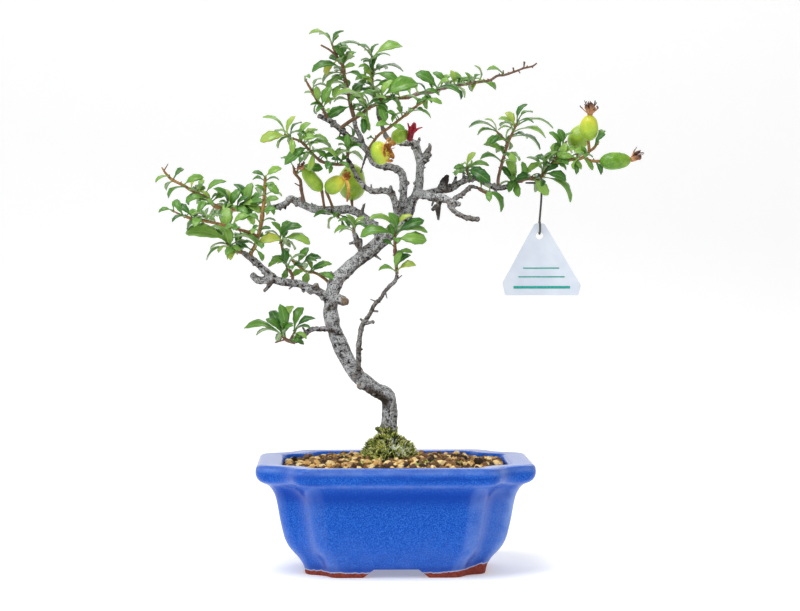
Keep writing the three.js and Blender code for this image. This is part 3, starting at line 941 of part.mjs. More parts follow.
/** Bare hang tag: a thin plate, wide at the bottom, with its hole. */
function tagSolid() {
  const corner = ([x, z]) => {
    const [across, , up] = place([x, tagPlane, z]);
    return new THREE.Vector2(across, up);
  };
  const shape = new THREE.Shape(tagOutline.map(corner));
  const hole = new THREE.Path();
  const middle = corner(tagHole);
  hole.absarc(middle.x, middle.y, tagHoleRadius, 0, 2 * Math.PI, false);
  shape.holes.push(hole);
  const plate = { depth: tagThickness, bevelEnabled: false, curveSegments: 5 };
  const geometry = new THREE.ExtrudeGeometry(shape, plate);
  geometry.rotateX(Math.PI / 2);
  geometry.translate(0, tagPlane * depthStep + tagThickness / 2, 0);
  return solidOfGeometry(geometry);
}

/** Volume that two solids share. */
function sharedVolume(a, b) {
  const boxA = a.boundingBox();
  const boxB = b.boundingBox();
  const apart = [0, 1, 2].some((k) => boxA.min[k] > boxB.max[k] || boxB.min[k] > boxA.max[k]);
  return apart ? 0 : a.intersect(b).volume();
}

/** Whether a solid touches any of several others. */
const touchesAny = (solid, others) => others.some((other) => sharedVolume(solid, other) > 1e-4);

// Search for a leaf's bend: tries, crossing allowed with leaves of its own spray (mm3), room to others
const bendSteps = 20;
const crossingAllowed = 0.02;
const leafClearance = 0.25;
const stemSides = 4;
const firstSeed = 101;

const glaze = { color: 0x2f5fc8, roughness: 0.25, metalness: 0 };
const soilFinish = { color: 0x9a7448, roughness: 0.95, metalness: 0 };
const mossFinish = { color: 0x6e8b2a, roughness: 1, metalness: 0 };
const bark = { color: 0x9d968e, roughness: 0.9, metalness: 0 };
const leaf = { color: 0x4f8f35, roughness: 0.5, metalness: 0 };
const fruitSkin = { color: 0xa6c81e, roughness: 0.4, metalness: 0 };
const driedPetal = { color: 0x8a5a3a, roughness: 0.9, metalness: 0 };
const crimsonPetal = { color: 0xa01830, roughness: 0.8, metalness: 0 };
const tagPlastic = { color: 0xe4e6ee, roughness: 0.35, metalness: 0 };
const wireCoat = { color: 0x4a4644, roughness: 0.6, metalness: 0 };
const netPlastic = { color: 0x20242a, roughness: 0.7, metalness: 0 };

const bonsai = new THREE.Group();
const placed = [];

/** Adds a finished solid to the group as a named mesh. */
function addPiece(name, solid, finish) {
  const mesh = solid.getMesh();
  const geometry = new THREE.BufferGeometry();
  geometry.setAttribute('position', new THREE.BufferAttribute(Float32Array.from(mesh.vertProperties), 3));
  geometry.setIndex(new THREE.BufferAttribute(Uint32Array.from(mesh.triVerts), 1));
  geometry.computeVertexNormals();
  const piece = new THREE.Mesh(geometry, new THREE.MeshStandardMaterial(finish));
  piece.name = name;
  bonsai.add(piece);
  placed.push(solid);
}

const woodSolid = (swell) => join(wood.map(([sides, route]) => limb(route.map(place), sides, swell)));
const trunk = woodSolid(0);
const trunkRoom = woodSolid(clearance);

addPiece('pot', pot(), glaze);
addPiece('drain_net_left', drainNet(-drainOffset), netPlastic);
addPiece('drain_net_right', drainNet(drainOffset), netPlastic);
addPiece('soil', mainBody(soilBody().subtract(trunkRoom)), soilFinish);
addPiece('moss', mainBody(mossDome().subtract(trunkRoom)), mossFinish);
addPiece('trunk', mainBody(trunk), bark);
addPiece('tag', tagSolid(), tagPlastic);
addPiece('tag_tie', tieSolid(), wireCoat);

const rooms = [trunkRoom, tieSolid(clearance)];
for (const [name, plan] of Object.entries(fruits)) {
  addPiece(name, mainBody(fruitSolid(plan).subtract(join(rooms))), fruitSkin);
  rooms.push(fruitSolid(plan, clearance));
}
for (const [name, plan] of Object.entries(driedFlowers)) {
  const flower = mainBody(driedFlower(plan).subtract(join(rooms)));
  addPiece(name, flower, name === 'flower_crimson' ? crimsonPetal : driedPetal);
  rooms.push(flower);
}

/** Bend of a leaf that stays clear of other pieces and crosses the leaves of its own spray least. */
function settledLeaf(plan, siblings, others) {
  let best = null;
  for (let step = 0; step < bendSteps; step += 1) {
    if (touchesAny(leafSolid(plan, step, leafClearance), others)) continue;
    const blade = leafSolid(plan, step);
    const crossing = siblings.reduce((sum, other) => sum + sharedVolume(blade, other), 0);
    if (best === null || crossing < best.crossing) best = { crossing, blade };
    if (crossing < crossingAllowed) break;
  }
  return best === null ? null : best.blade;
}

const sprayList = Object.entries(sprays);
const stemBodies = sprayList.map(([, spray]) => {
  const stems = join(spray.stems.map((stem) => limb(stem.map(place), stemSides)));
  const body = mainBody(stems.subtract(join(rooms)));
  rooms.push(join(spray.stems.map((stem) => limb(stem.map(place), stemSides, clearance))));
  return body;
});
sprayList.forEach(([name, spray], index) => {
  const others = [...placed, ...stemBodies.slice(index + 1)];
  const leaves = [];
  for (const plan of leafPlans(spray, firstSeed + index)) {
    const blade = settledLeaf(plan, leaves, others);
    if (blade !== null) leaves.push(blade);
  }
  addPiece(name, mainBody(join([stemBodies[index], ...leaves])), leaf);
});

// The origin lies below the middle of the plant's box
const box = new THREE.Box3().setFromObject(bonsai);
bonsai.position.set(-(box.min.x + box.max.x) / 2, -(box.min.y + box.max.y) / 2, -box.min.z);

export default bonsai;
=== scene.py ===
"""Flowering quince bonsai in a glazed pot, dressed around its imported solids.

Lengths in the tables are millimetres. The plant's points are listed as they line up seen from the
front, with their depth in steps behind the pot's middle, and placed() gives their real place.
"""

import logging
import math
from collections.abc import Iterable, Iterator, Sequence
from dataclasses import dataclass, field, replace
from enum import Enum

import bpy
import numpy as np
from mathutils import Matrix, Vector


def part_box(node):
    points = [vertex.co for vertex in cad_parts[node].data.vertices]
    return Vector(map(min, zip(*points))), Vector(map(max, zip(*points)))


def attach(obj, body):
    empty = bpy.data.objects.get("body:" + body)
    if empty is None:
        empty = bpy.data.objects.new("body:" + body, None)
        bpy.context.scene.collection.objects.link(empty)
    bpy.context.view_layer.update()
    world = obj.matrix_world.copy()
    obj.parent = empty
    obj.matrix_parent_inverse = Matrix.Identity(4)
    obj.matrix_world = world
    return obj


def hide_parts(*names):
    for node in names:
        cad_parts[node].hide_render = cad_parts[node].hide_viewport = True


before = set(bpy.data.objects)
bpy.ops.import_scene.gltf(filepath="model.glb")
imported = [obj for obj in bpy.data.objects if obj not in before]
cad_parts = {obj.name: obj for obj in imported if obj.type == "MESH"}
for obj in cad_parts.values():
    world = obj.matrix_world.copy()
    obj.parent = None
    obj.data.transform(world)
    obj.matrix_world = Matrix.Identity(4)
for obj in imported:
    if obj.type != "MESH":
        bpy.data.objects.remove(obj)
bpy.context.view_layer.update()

log = logging.getLogger("bonsai")

Array = np.ndarray
Point = Sequence[float]
Rows = Sequence[Point]
Socket = bpy.types.NodeSocket
Tree = bpy.types.NodeTree
Inputs = dict[str | int, object]

MM = 0.001
DEPTH_STEP = 1.8
VIEW_DISTANCE = 1300.0
VIEW_HEIGHT = 188.0
VIEW_ASIDE = 0.026

pot_low, pot_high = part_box("pot")
ORIGIN = np.array([(pot_low.x + pot_high.x) / 2, (pot_low.y + pot_high.y) / 2, 0.0]) / MM


@dataclass(frozen=True)
class Spray:
    """Leafy twig.

    Stems and thorns are rows of x, depth steps, z and radius. A leaf is its root's x and z, its tip's x
    and z, and how far the tip lies behind the root. A tuft of small extra leaves is x, z, their number,
    their aim as x, y, z, and their length. A number of small leaves stands round the leafy share of the
    main stem. Bark runs from 0, old and grey, to 1, orange-brown. Tones are those of single leaves that
    stand out, by their place in the list, from 0, dark green, to 1, yellow-green.
    """

    stems: Sequence[Rows]
    leaves: Rows
    tufts: Rows = ()
    thorns: Sequence[Rows] = ()
    small: int = 0
    leafy: float = 1.0
    young: float = 0.45
    tones: dict[int, float] = field(default_factory=dict)


# Old wood: each limb as rows of x, depth steps, z and radius
LIMBS: list[Rows] = [
    [(-3, 2, 30, 3), (-3.5, 1.5, 46, 4.6), (-3.6, 1, 56, 6.2), (-3.6, 1, 63, 6.1), (-3.7, 0, 69.5, 5.3),
     (-3.7, 0, 77, 4.8), (-2.9, 0, 85.4, 4.7), (-2.9, -0.5, 93.6, 4.6), (-4.4, -1, 98.9, 4.6),
     (-10.7, -2, 102.6, 4.5), (-17.1, -3, 107.2, 4.5), (-22.6, -4, 112.9, 4.3), (-27.8, -4, 121, 4.2),
     (-31.2, -4.5, 129, 4.1), (-34.7, -5, 138.2, 4.1), (-36, -5, 144, 4.2), (-36.4, -5, 151.3, 4.4),
     (-35, -5, 160, 4.3), (-33.2, -5, 165.4, 4.1), (-28.9, -4.5, 169.7, 4.1), (-22, -4, 176.3, 4),
     (-15.2, -3, 181.4, 4), (-8.3, -2, 187.6, 4), (-0.3, -1, 194.9, 3.9), (5, 0, 199.7, 3.8),
     (7.7, 1, 204.4, 3.4), (9.7, 1.5, 209.3, 3), (12.3, 2, 214.5, 2.7)],
    [(11.5, 2, 213, 2.4), (14, 3, 219.5, 2.5), (14.4, 4, 226.4, 2.4), (14.8, 5, 232.4, 2.4),
     (13, 6, 240.2, 2.3), (11, 6.5, 244.2, 2), (6.6, 7, 243.6, 1.8), (1.4, 7, 244.7, 1.6),
     (-3.7, 7, 246.4, 1.5), (-6.1, 7.5, 250.8, 1.4), (-7.7, 8, 255.6, 1.3), (-9, 8.5, 260.2, 1.2),
     (-9.5, 9, 265.2, 1.1)],
    [(14.8, 5, 232, 1.9), (17.9, 5.5, 234.6, 1.9), (18.4, 6, 238.4, 1.7), (20.3, 6.5, 241.2, 1.3),
     (20, 6.8, 244, 0.7)],
    [(13, 6, 241, 1.2), (14.4, 7, 247.2, 0.7)],
    [(5.4, 1, 201.2, 2.6), (4.8, 0, 208.1, 2.4), (5.1, -1, 212.9, 2.3), (5.3, -1.5, 218, 2.2),
     (5.1, -2, 223.6, 2.2), (3.2, -2.5, 227.8, 2.2), (-0.4, -3, 229.8, 2.1), (-4.6, -3, 230.6, 2.1),
     (-8.7, -3, 231.2, 2), (-11.9, -3, 232.8, 2), (-13.2, -2.5, 235.4, 2), (-14.9, -2, 238.6, 2),
     (-17.6, -2, 241.9, 1.9), (-21, -2, 244.7, 1.9), (-25.4, -2.5, 247, 1.8), (-29, -3, 250, 1.8),
     (-33, -3.5, 253.7, 1.7), (-37.5, -4, 256.9, 1.6), (-43.6, -4, 259.6, 1.3)],
    [(-17.6, -2, 241.9, 1.4), (-19, -1, 247, 1.5), (-22, 0, 252.4, 1.4), (-23.2, 1, 258.8, 1.3)],
    [(-15.5, -2, 238.6, 0.9), (-17.4, 0, 233.5, 0.8), (-19.4, 1.5, 227, 0.6)],
    [(3, -1, 198.5, 2.4), (1.4, -3, 205.8, 2.2), (0, -4, 211.6, 2.1), (-2.4, -5, 215.7, 2),
     (-6.2, -5, 216.9, 1.8), (-10.8, -5, 216.3, 1.7), (-15.4, -5, 217.7, 1.6), (-18.8, -5, 221, 1.5),
     (-22, -5, 225.8, 1.4), (-25.1, -5, 231.6, 1.3), (-27, -5, 235.4, 1.1)],
    [(-1.6, -5, 215.4, 1.4), (-2.2, -5.2, 219.8, 0.9)],
    [(-9, -2, 191.4, 2.6), (-12.9, 0, 197.7, 2.4), (-17.5, 1, 201.4, 2.3), (-22, 2, 204.5, 2.2),
     (-26.8, 3, 206.1, 2.4), (-32, 3.5, 205.6, 2.4), (-38.7, 4, 205.4, 2.35), (-45.8, 4, 206.3, 2.3),
     (-50.9, 4, 208.2, 2.25), (-56.4, 5, 210.9, 2.2), (-59.6, 5, 212, 2.2), (-62, 6, 209.4, 2),
     (-66, 6, 207.7, 1.85), (-72.5, 7, 206.6, 1.6)],
    [(-19, 1.2, 202, 1), (-18, 0, 206.8, 0.9), (-16.6, -0.5, 209.8, 0.35)],
    [(-36, -5, 152, 2.6), (-39, -6, 155.8, 2.5), (-43.6, -8, 159, 2.6), (-49.4, -9, 161.2, 2.5),
     (-54.3, -10, 163.4, 2.4), (-59, -11, 164, 2.35), (-65, -12, 165, 2.3), (-70, -13, 166.2, 2.2),
     (-74.2, -13.5, 165.6, 2.1), (-78.2, -14, 165.8, 2.1), (-81.6, -14, 169, 1.8)],
    [(-70, -13, 165.8, 1.3), (-72, -12.6, 162, 1.1), (-74.8, -12, 159.2, 0.9)],
    [(-69.6, -13, 166, 2), (-71.5, -13.4, 168.5, 2.15), (-75.6, -14, 172.4, 2.05), (-79.6, -15, 176, 1.95),
     (-83.6, -16, 179.2, 1.75), (-86.6, -16, 181.3, 1.5)],
    [(-43.6, -8, 159.4, 1.6), (-45, -9.5, 162.6, 1.5)],
    [(-35.6, -5.6, 153, 1.6), (-31.6, -7, 154.6, 2.2), (-28.6, -7.6, 154.2, 2)],
    [(-34.5, -5, 137, 2), (-37.4, -8, 137.5, 1.7), (-42.4, -10, 137.6, 1.55), (-47.4, -11, 137.4, 1.5),
     (-51.2, -12, 134.8, 1.5), (-56.6, -13, 130, 1.4)],
    [(-22, -4, 112.6, 1.9), (-20.7, -8.5, 114.8, 1.75), (-20.6, -10, 122, 1.6), (-20.5, -11, 129, 1.55),
     (-19.4, -11, 135.9, 1.5), (-18.6, -11.4, 139.4, 1.5), (-16.4, -12, 142.9, 1.35),
     (-13.6, -12, 147, 1.3), (-11.4, -12, 151.6, 1.2), (-7.8, -12, 155, 1.2), (-6, -12, 158.4, 1.1),
     (-3, -13, 161.7, 1.1), (0.4, -13, 165.2, 1.1), (1.5, -13.2, 168.8, 1)],
    [(-18.2, -11.4, 140, 0.9), (-13.6, -13, 141.4, 0.9), (-11.8, -13.4, 141.6, 1.1)],
    [(-19, -3.6, 179, 1.6), (-19.8, -4.4, 183, 1.4), (-21.4, -5, 188.4, 1.4), (-22.4, -5, 190.8, 1.7),
     (-23.2, -5.2, 192.4, 1.2)],
    [(-21, -4.8, 187.4, 0.9), (-26, -5.4, 186.4, 0.8)],
    [(-8.4, -1, 101, 1.2), (-12.4, -4.8, 99, 0.7)],
    [(-7, 0, 77.6, 1.4), (-10.6, -2, 80.6, 1)],
    [(9.8, 1, 211.6, 2.4), (13.8, 0, 215.2, 2.6), (18, -3, 214, 2.5), (22.1, -5, 213, 2.5),
     (26.6, -6, 212.8, 2.4), (30.1, -7, 211.4, 2.3), (34.7, -8, 209.5, 1.9), (37.8, -8, 208.9, 1.4)],
    [(30.5, -7.5, 210, 1.5), (32, -8.6, 207.6, 1.5), (34.4, -10, 205, 1.45), (37.8, -12, 202.7, 1.4),
     (42.6, -13, 201, 1.35), (48, -14, 200.3, 1.4)],
    [(25, -6, 211.6, 1.2), (24.6, -6.6, 206.6, 1), (25.2, -6.8, 202.8, 0.5)],
    [(17.4, -2, 214.4, 2.2), (22.5, 1.5, 216.2, 2.1), (28.9, 4, 217, 2), (33.4, 5, 218.4, 2),
     (37, 6, 220.9, 1.9), (40.6, 6, 222.6, 1.8), (43.8, 7, 224, 1.8), (48.4, 7.4, 223.6, 1.7),
     (52.6, 8, 220.8, 1.7), (56.2, 8.4, 219.2, 1.6), (60.6, 9, 218.4, 1.6), (65.6, 9, 219.4, 1.5)],
    [(27.4, 3, 217.6, 1.8), (28.6, 3.4, 222.4, 1.6), (30.4, 3.8, 225.4, 0.7)],
    [(33.2, 5, 219, 1.3), (35.4, 5.2, 224.8, 0.8)],
    [(39.8, 6, 223.4, 0.9), (39.4, 6, 227.6, 0.6)],
    [(57, 8.6, 218.4, 0.9), (59.6, 8, 214.4, 0.7)],
    [(32.6, -7, 210.6, 1.6), (36, -4.6, 213, 1.5), (39.4, -2.4, 215.2, 1.4), (43.4, 0, 219, 1.3),
     (48, 1, 218.2, 1.2)],
]

SPRAYS: dict[str, Spray] = {
    "spray_upright": Spray(
        [[(-82.6, -15.7, 178.4, 1.2), (-82, -16, 181.4, 1.2), (-79.6, -17, 185.5, 1.15),
          (-76.8, -17, 195, 1.1), (-75.2, -16, 205.8, 1), (-74.3, -15, 215.3, 0.9),
          (-73.8, -14, 225.2, 0.8)]],
        [(-73.8, 224, -80.8, 227.4, -3), (-73.8, 223, -81, 223.6, 3), (-73.8, 224.4, -65, 229.8, -3),
         (-73.9, 223, -66, 223.6, 3), (-74, 219, -68.6, 219.4, -5), (-74.2, 214, -79, 220, -4),
         (-77, 196, -68.4, 200.4, -4), (-80.4, 183.6, -65.6, 189.6, -3), (-75.6, 203, -68, 206.6, -5),
         (-76.4, 198, -84, 203.6, 5)],
        tufts=[(-74.3, 215, 3, 0.3, 0.9, 0.1, 12), (-77, 193, 2, 0.2, -0.9, 0.1, 12)],
        small=6, young=0.85,
    ),
    "spray_left_low": Spray(
        [[(-77.8, -17, 190.4, 0.9), (-83.5, -19, 193, 0.9), (-89, -20, 194.6, 0.85),
          (-98, -21, 197.2, 0.85), (-107.3, -22, 199.2, 0.8), (-113.8, -22, 200.4, 0.7),
          (-120.3, -22, 202.2, 0.65), (-127.6, -21, 205.6, 0.4)]],
        [(-126, 204.8, -134.6, 204.8, -2), (-125, 204.4, -124.2, 212, 3), (-118.4, 201.6, -127, 199.6, -4),
         (-112, 200, -117, 205, -3), (-104, 198.6, -119, 195.6, 5), (-91, 195.2, -84, 203, -3),
         (-94, 196, -87.6, 191, 5)],
        tufts=[(-107, 199, 3, -0.3, -0.7, 0.5, 12), (-90, 195, 2, 0, -0.9, 0.3, 12)],
        small=9, leafy=0.9, young=0.75,
    ),
    "spray_elbow": Spray(
        [[(-86.8, -16, 181.4, 1.2), (-92, -17, 183.2, 1.2), (-96, -17, 187.2, 0.9)]],
        [(-96, 187, -96.4, 207, -6), (-96, 186.8, -78, 193.6, -8), (-95.6, 186.6, -118.6, 193.4, -5),
         (-95.6, 186.6, -104.6, 197, 6), (-92, 183.2, -108, 178.6, -3), (-93, 184.2, -105.4, 184.6, 3),
         (-88.4, 182, -94, 177.6, -6), (-92, 183.4, -90, 193, 5)],
        tufts=[(-92, 183.2, 3, 0.1, 0.9, 0, 13), (-96, 187, 2, -0.4, 0.7, 0.3, 14)],
        small=14, tones={0: 0.72, 1: 0.6, 2: 0.66},
    ),
    "spray_left_long": Spray(
        [[(-72.8, 7, 206.6, 1.5), (-84.5, 8, 206.3, 1.4), (-89, 8, 206, 1.4), (-95, 9, 206.4, 1.3),
          (-101.6, 9, 207.6, 1.2), (-104.8, 9, 209.8, 1.15), (-107.3, 9, 212.5, 1.1),
          (-111.8, 10, 214.7, 1.05), (-116.1, 10, 217, 1), (-120.7, 10, 219.8, 0.9), (-127, 11, 223, 0.8),
          (-130.6, 11, 226.6, 0.7), (-132.8, 11, 230, 0.4)]],
        [(-128, 224, -136.4, 222, -3), (-127, 223, -120.6, 229.6, 4), (-125, 222, -130.6, 217.4, 3),
         (-117, 217.6, -129.6, 213.6, -5), (-120, 219.4, -109.6, 224.6, -4),
         (-112, 214.8, -109.4, 223.6, 3), (-108, 213, -97, 222.8, -3), (-107, 212, -98, 213.6, -7),
         (-96, 206.6, -104.6, 218.6, -6), (-95, 206.4, -96.6, 218, 3), (-93, 206.2, -88.6, 217.4, -4),
         (-91, 206, -84, 213.4, -6), (-84.6, 206.4, -91, 221, 3), (-83, 206.4, -82, 221, -4),
         (-81, 206.4, -78, 214.6, -6), (-88, 206, -78.6, 208.8, -9), (-74, 206.6, -67, 212.6, -6),
         (-106, 211, -119, 210.8, -5), (-102.6, 208.4, -113, 205.6, -6), (-79, 206.4, -88.4, 200.6, -6),
         (-82, 206.4, -80.6, 197.6, -5), (-75, 206.6, -66.6, 203.6, -5)],
        tufts=[(-84, 206.3, 3, 0.1, 0.9, 0.3, 14), (-95, 206.4, 3, -0.2, 0.9, 0.1, 14),
               (-104.8, 209.8, 3, -0.2, 0.9, 0.4, 13), (-116, 217, 2, -0.2, 0.9, 0.3, 12)],
        thorns=[((-131.6, 11, 228, 0.4), (-129.2, 10.5, 232, 0.25))],
        small=28, leafy=0.7, young=0.8,
    ),
    "spray_elbow_twig": Spray(
        [[(-58.4, -11, 164.8, 0.9), (-58.5, -11, 168.4, 0.9), (-61.2, -10, 173, 0.9),
          (-63, -9, 177.7, 0.85), (-64.4, -8, 185, 0.8), (-65.8, -8, 190, 0.6)]],
        [(-65.4, 189, -53.6, 196.8, -3), (-65.6, 189.6, -59.6, 199.4, 3), (-65.6, 189.6, -69.6, 199, -5),
         (-64.8, 187, -48.6, 187.4, -5), (-64.6, 186.4, -56.6, 183.6, 6), (-65.2, 188.6, -73.6, 193.4, 4),
         (-64.2, 184, -63, 175.6, -7), (-62.2, 175.8, -72, 173.8, -4)],
        tufts=[(-64.8, 187, 3, 0.1, 0.9, 0.1, 13)],
        small=9,
    ),
    "spray_fork_twig": Spray(
        [[(-36.2, -5, 162.4, 0.9), (-40, -4, 166.4, 0.85), (-45.4, -3, 169.7, 0.8), (-50.7, -2, 170.6, 0.8),
          (-54.3, -1, 173.2, 0.75), (-58.6, 0, 177, 0.55)]],
        [(-46, 169.8, -36.4, 175.4, -4), (-42.4, 168, -34.6, 166.6, -7), (-50, 170.4, -58.4, 168.4, -4),
         (-54.6, 173.4, -49.6, 184.2, -3), (-58, 176.4, -64, 180.6, 6)],
        tufts=[(-54, 173, 3, 0, 0.9, 0.2, 12)],
        small=5, young=0.8,
    ),
    "spray_low_left": Spray(
        [[(-57, -13, 129.8, 1.1), (-61.6, -14, 131.2, 1), (-64.6, -14, 133.8, 0.8)],
         [(-60, -13.6, 130.6, 0.8), (-56.6, -12.4, 137, 0.6)],
         [(-62.6, -14, 131.6, 0.6), (-68.4, -14.4, 129.8, 0.3)]],
        [(-64.4, 133.4, -85.6, 139.6, -2), (-64, 133, -79, 135.6, 4), (-64.6, 133.6, -70.4, 148.4, 3),
         (-64.6, 133.6, -73, 143.6, -4), (-64.4, 133.6, -58.6, 151.2, 4), (-64.6, 133.8, -64.8, 151.4, -6),
         (-63, 132.6, -59.6, 141.6, -8), (-56.6, 136.8, -53, 150.4, 3), (-56.6, 136.8, -46, 144.4, -2),
         (-56.8, 136.4, -48.6, 139, -5), (-58, 134.4, -50.6, 132.6, -6)],
        tufts=[(-64, 133, 3, 0, 0.95, 0.2, 13)],
        small=5, young=0.2,
    ),
    "spray_side": Spray(
        [[(1.5, -13.2, 169.2, 1), (1.2, -13.2, 172, 0.95), (0.6, -13.2, 178.8, 0.95),
          (0.3, -13, 185.7, 0.9), (0.3, -12.4, 190, 0.9), (1, -12, 193.4, 0.6)]],
        [(1.4, 170.6, -8.8, 172, -3), (1.4, 170.6, 12, 174.6, -3), (1.2, 171.6, 3.4, 181.2, -5),
         (1.2, 172, 9, 180.4, 3), (0.4, 190, 18.6, 194.2, -3), (0.4, 189, 18, 188.6, -5),
         (0.3, 189, -19, 191.6, -5), (0.8, 192.6, -13.6, 201.6, -4), (0.8, 192.6, -2.6, 204, -6),
         (1, 193, 9.6, 203, -5), (1, 193, 16.6, 200, -3)],
        tufts=[(0.4, 189, 2, 0, -1, 0.1, 11)],
        small=4, young=0.35, tones={4: 0.55, 5: 0.62},
    ),
    "spray_knob": Spray(
        [[(-23.2, -5.2, 192.6, 1.1), (-23.4, -6, 196, 0.7)]],
        [(-23.4, 195.4, -34.4, 193.4, -4), (-23.4, 195.6, -26.8, 203, -5), (-23.4, 195.6, -18, 202, -4),
         (-23.4, 195.6, -32, 200, 1), (-23.3, 195, -15.6, 196, -5)],
        small=4, young=0.1,
    ),
    "spray_under": Spray(
        [[(-31.6, 3.4, 204.6, 0.8), (-32.4, 1, 201, 0.6)]],
        [(-32.3, 201.6, -46, 202.8, -4), (-32.2, 201.8, -25.6, 196.6, -3), (-32.2, 201.6, -38, 195.6, 5)],
        small=3,
    ),
    "spray_red_twig": Spray(
        [[(-51.6, 4.2, 209, 1), (-52.4, 4, 213, 0.95), (-53.3, 4, 217.5, 0.95), (-53.9, 3, 222.7, 0.9),
          (-56.7, 2, 226.4, 0.8), (-58, 1, 231, 0.5)],
         [(-56.2, 2, 225.8, 0.6), (-55, 1, 229.8, 0.45)]],
        [(-56, 225.6, -43, 230, -9), (-57.6, 229.4, -64.6, 236, 5), (-57.6, 229.6, -52.6, 236.6, 6)],
        thorns=[((-53.5, 3.6, 219, 0.5), (-57, 2.6, 221, 0.3))],
        young=0.35,
    ),
    "spray_tip_c": Spray(
        [[(-27, -5, 235.8, 1), (-26.6, -5, 238.4, 0.8), (-26.8, -5, 240.6, 0.55)]],
        [(-26.8, 240, -33, 247, -3), (-26.8, 240, -26, 248.6, -6), (-26.7, 239.4, -19.6, 243, -6),
         (-26.7, 239, -33.2, 237.6, -5), (-26.7, 239.6, -31.6, 243.6, 6)],
        small=5,
    ),
    "spray_left_upper": Spray(
        [[(-25.9, -5, 232, 0.9), (-34, -6, 231.8, 0.9), (-41.6, -7, 233.4, 0.8), (-47, -8, 238, 0.8),
          (-53.3, -8, 244.6, 0.7), (-60, -8, 247, 0.6), (-63, -8, 249, 0.45)]],
        [(-62, 248.2, -74.2, 259.6, -3), (-61.6, 248, -57.4, 259.4, -3), (-61, 247.6, -53.6, 256.4, 5),
         (-61.6, 247.8, -76.4, 245.6, -4), (-60, 247, -67, 241.6, 4), (-59.4, 246.8, -58.6, 238.6, -7),
         (-53.6, 244.8, -48.8, 255.6, -4), (-53.4, 244.8, -44.6, 252, 4), (-53, 244.4, -46, 247.6, -8),
         (-52.4, 243.6, -38.4, 246.4, -4), (-51.6, 243, -35.6, 241.4, 4), (-50, 241.2, -57.6, 236.6, -5),
         (-48.6, 239.8, -44.4, 244.6, -7), (-47, 238, -33.4, 236.8, -5), (-47.4, 238.4, -63, 232.6, -4),
         (-46.4, 237.4, -49, 228.6, -6)],
        tufts=[(-53.3, 244.6, 3, 0, 0.95, 0.2, 13), (-47, 238, 2, -0.1, 0.95, 0, 13),
               (-61, 247.6, 2, -0.3, 0.9, 0.2, 12)],
        small=16,
    ),
    "spray_apex_left": Spray(
        [[(-38.6, -4.6, 258.4, 1), (-40.4, -5.4, 262.6, 0.95), (-43.4, -6, 267, 0.9), (-47.4, -7, 274, 0.8),
          (-51.4, -8, 281, 0.45)]],
        [(-43.4, 267, -51, 273.4, 4), (-42.6, 266, -44.6, 276, -5), (-42, 265, -36.6, 276, -4),
         (-41.4, 264, -34.4, 269.6, -3), (-40.6, 263, -47.6, 266.4, -5)],
        tufts=[(-45, 270, 2, -0.2, 0.9, 0.2, 10)],
        small=6,
    ),
    "spray_apex": Spray(
        [[(-23.3, 1, 259.2, 1.25), (-24.9, 1.5, 265, 1.2), (-25.7, 2, 269.5, 1.1), (-26.6, 2, 274, 1.1),
          (-28.5, 1, 281.5, 1), (-29.5, 0, 288, 0.9), (-31.8, -1, 291.4, 0.8), (-34, -2, 296, 0.7),
          (-36, -3, 301, 0.45)],
         [(-32.6, -1.4, 293, 0.7), (-37, -3.4, 297, 0.6), (-42, -5, 299.8, 0.5)]],
        [(-35.8, 300.4, -48.2, 307.4, -4), (-35.4, 299.4, -32.8, 306.6, 3), (-29.6, 288.4, -34, 299.4, -5),
         (-29.6, 288.6, -28.4, 297, -4), (-29.6, 288.4, -22.4, 296.6, 3), (-29.4, 287, -46.8, 285.8, -4),
         (-29, 284.6, -41.4, 279.4, 4), (-28.8, 283, -38.2, 274, -4), (-27.6, 278, -34.6, 270, -6),
         (-28.6, 282, -18.6, 281.6, -6), (-29.2, 285.4, -23, 288.8, -5), (-26, 271, -18, 270.8, -6),
         (-25, 265.4, -38.4, 258.8, -5), (-26.4, 273, -35.4, 279, 6)],
        tufts=[(-28.5, 281.5, 3, 0, 0.95, 0.2, 14), (-25.7, 269.5, 3, -0.2, 0.95, 0.1, 14),
               (-33, 294, 2, 0.3, 0.9, 0.4, 12)],
        small=20,
    ),
    "spray_rosette": Spray(
        [[(-9.5, 9, 265.6, 1.05), (-11.4, 10, 270, 0.95), (-12.9, 10, 280, 0.9), (-12.4, 10, 286, 0.8),
          (-12.9, 9, 293.4, 0.5)]],
        [(-13, 292, -33, 300.6, -6), (-12.9, 292.8, -20, 300.6, -5), (-12.9, 293, -9.6, 301, 3),
         (-12.7, 292, 4, 300.2, -4), (-12.7, 291, -2.6, 295, 5), (-12.6, 289, -19, 291.6, 3),
         (-12.4, 286, -11, 294, -8), (-12.6, 283, 4.8, 286.6, -5), (-12.7, 282, 2.6, 279, -8),
         (-12.6, 283.6, -20, 288, -6), (-12.2, 275, -18.6, 281.6, -6), (-12, 274, -0.6, 278.4, -8)],
        tufts=[(-12.5, 283, 3, 0.1, 0.95, 0.2, 14), (-12, 275, 2, -0.4, 0.9, 0, 13)],
        small=18,
    ),
    "spray_crown": Spray(
        [[(-30.6, -3.6, 252.6, 1.1), (-25.4, -5, 256.4, 1.05), (-19.8, -7, 259.8, 1), (-14.6, -8, 264, 1),
          (-10, -8, 266.4, 1), (-7, -8, 269.6, 1.3), (0, -6, 269.6, 1), (7.2, -4, 269.8, 1)]],
        [(-14.6, 264.2, -33, 272.6, -4), (-10, 266.6, -18, 273.2, -4), (-6.6, 269.8, 12.6, 278.6, -5),
         (-6, 269.4, 3.4, 263, -5), (-16, 262.6, -20.6, 269.6, 4), (-9, 266.8, -5, 257, -6),
         (-20.4, 259.4, -17.4, 249.8, -5), (-13, 265, -8, 275.4, -5), (-6.6, 269.8, -1.6, 280, -4)],
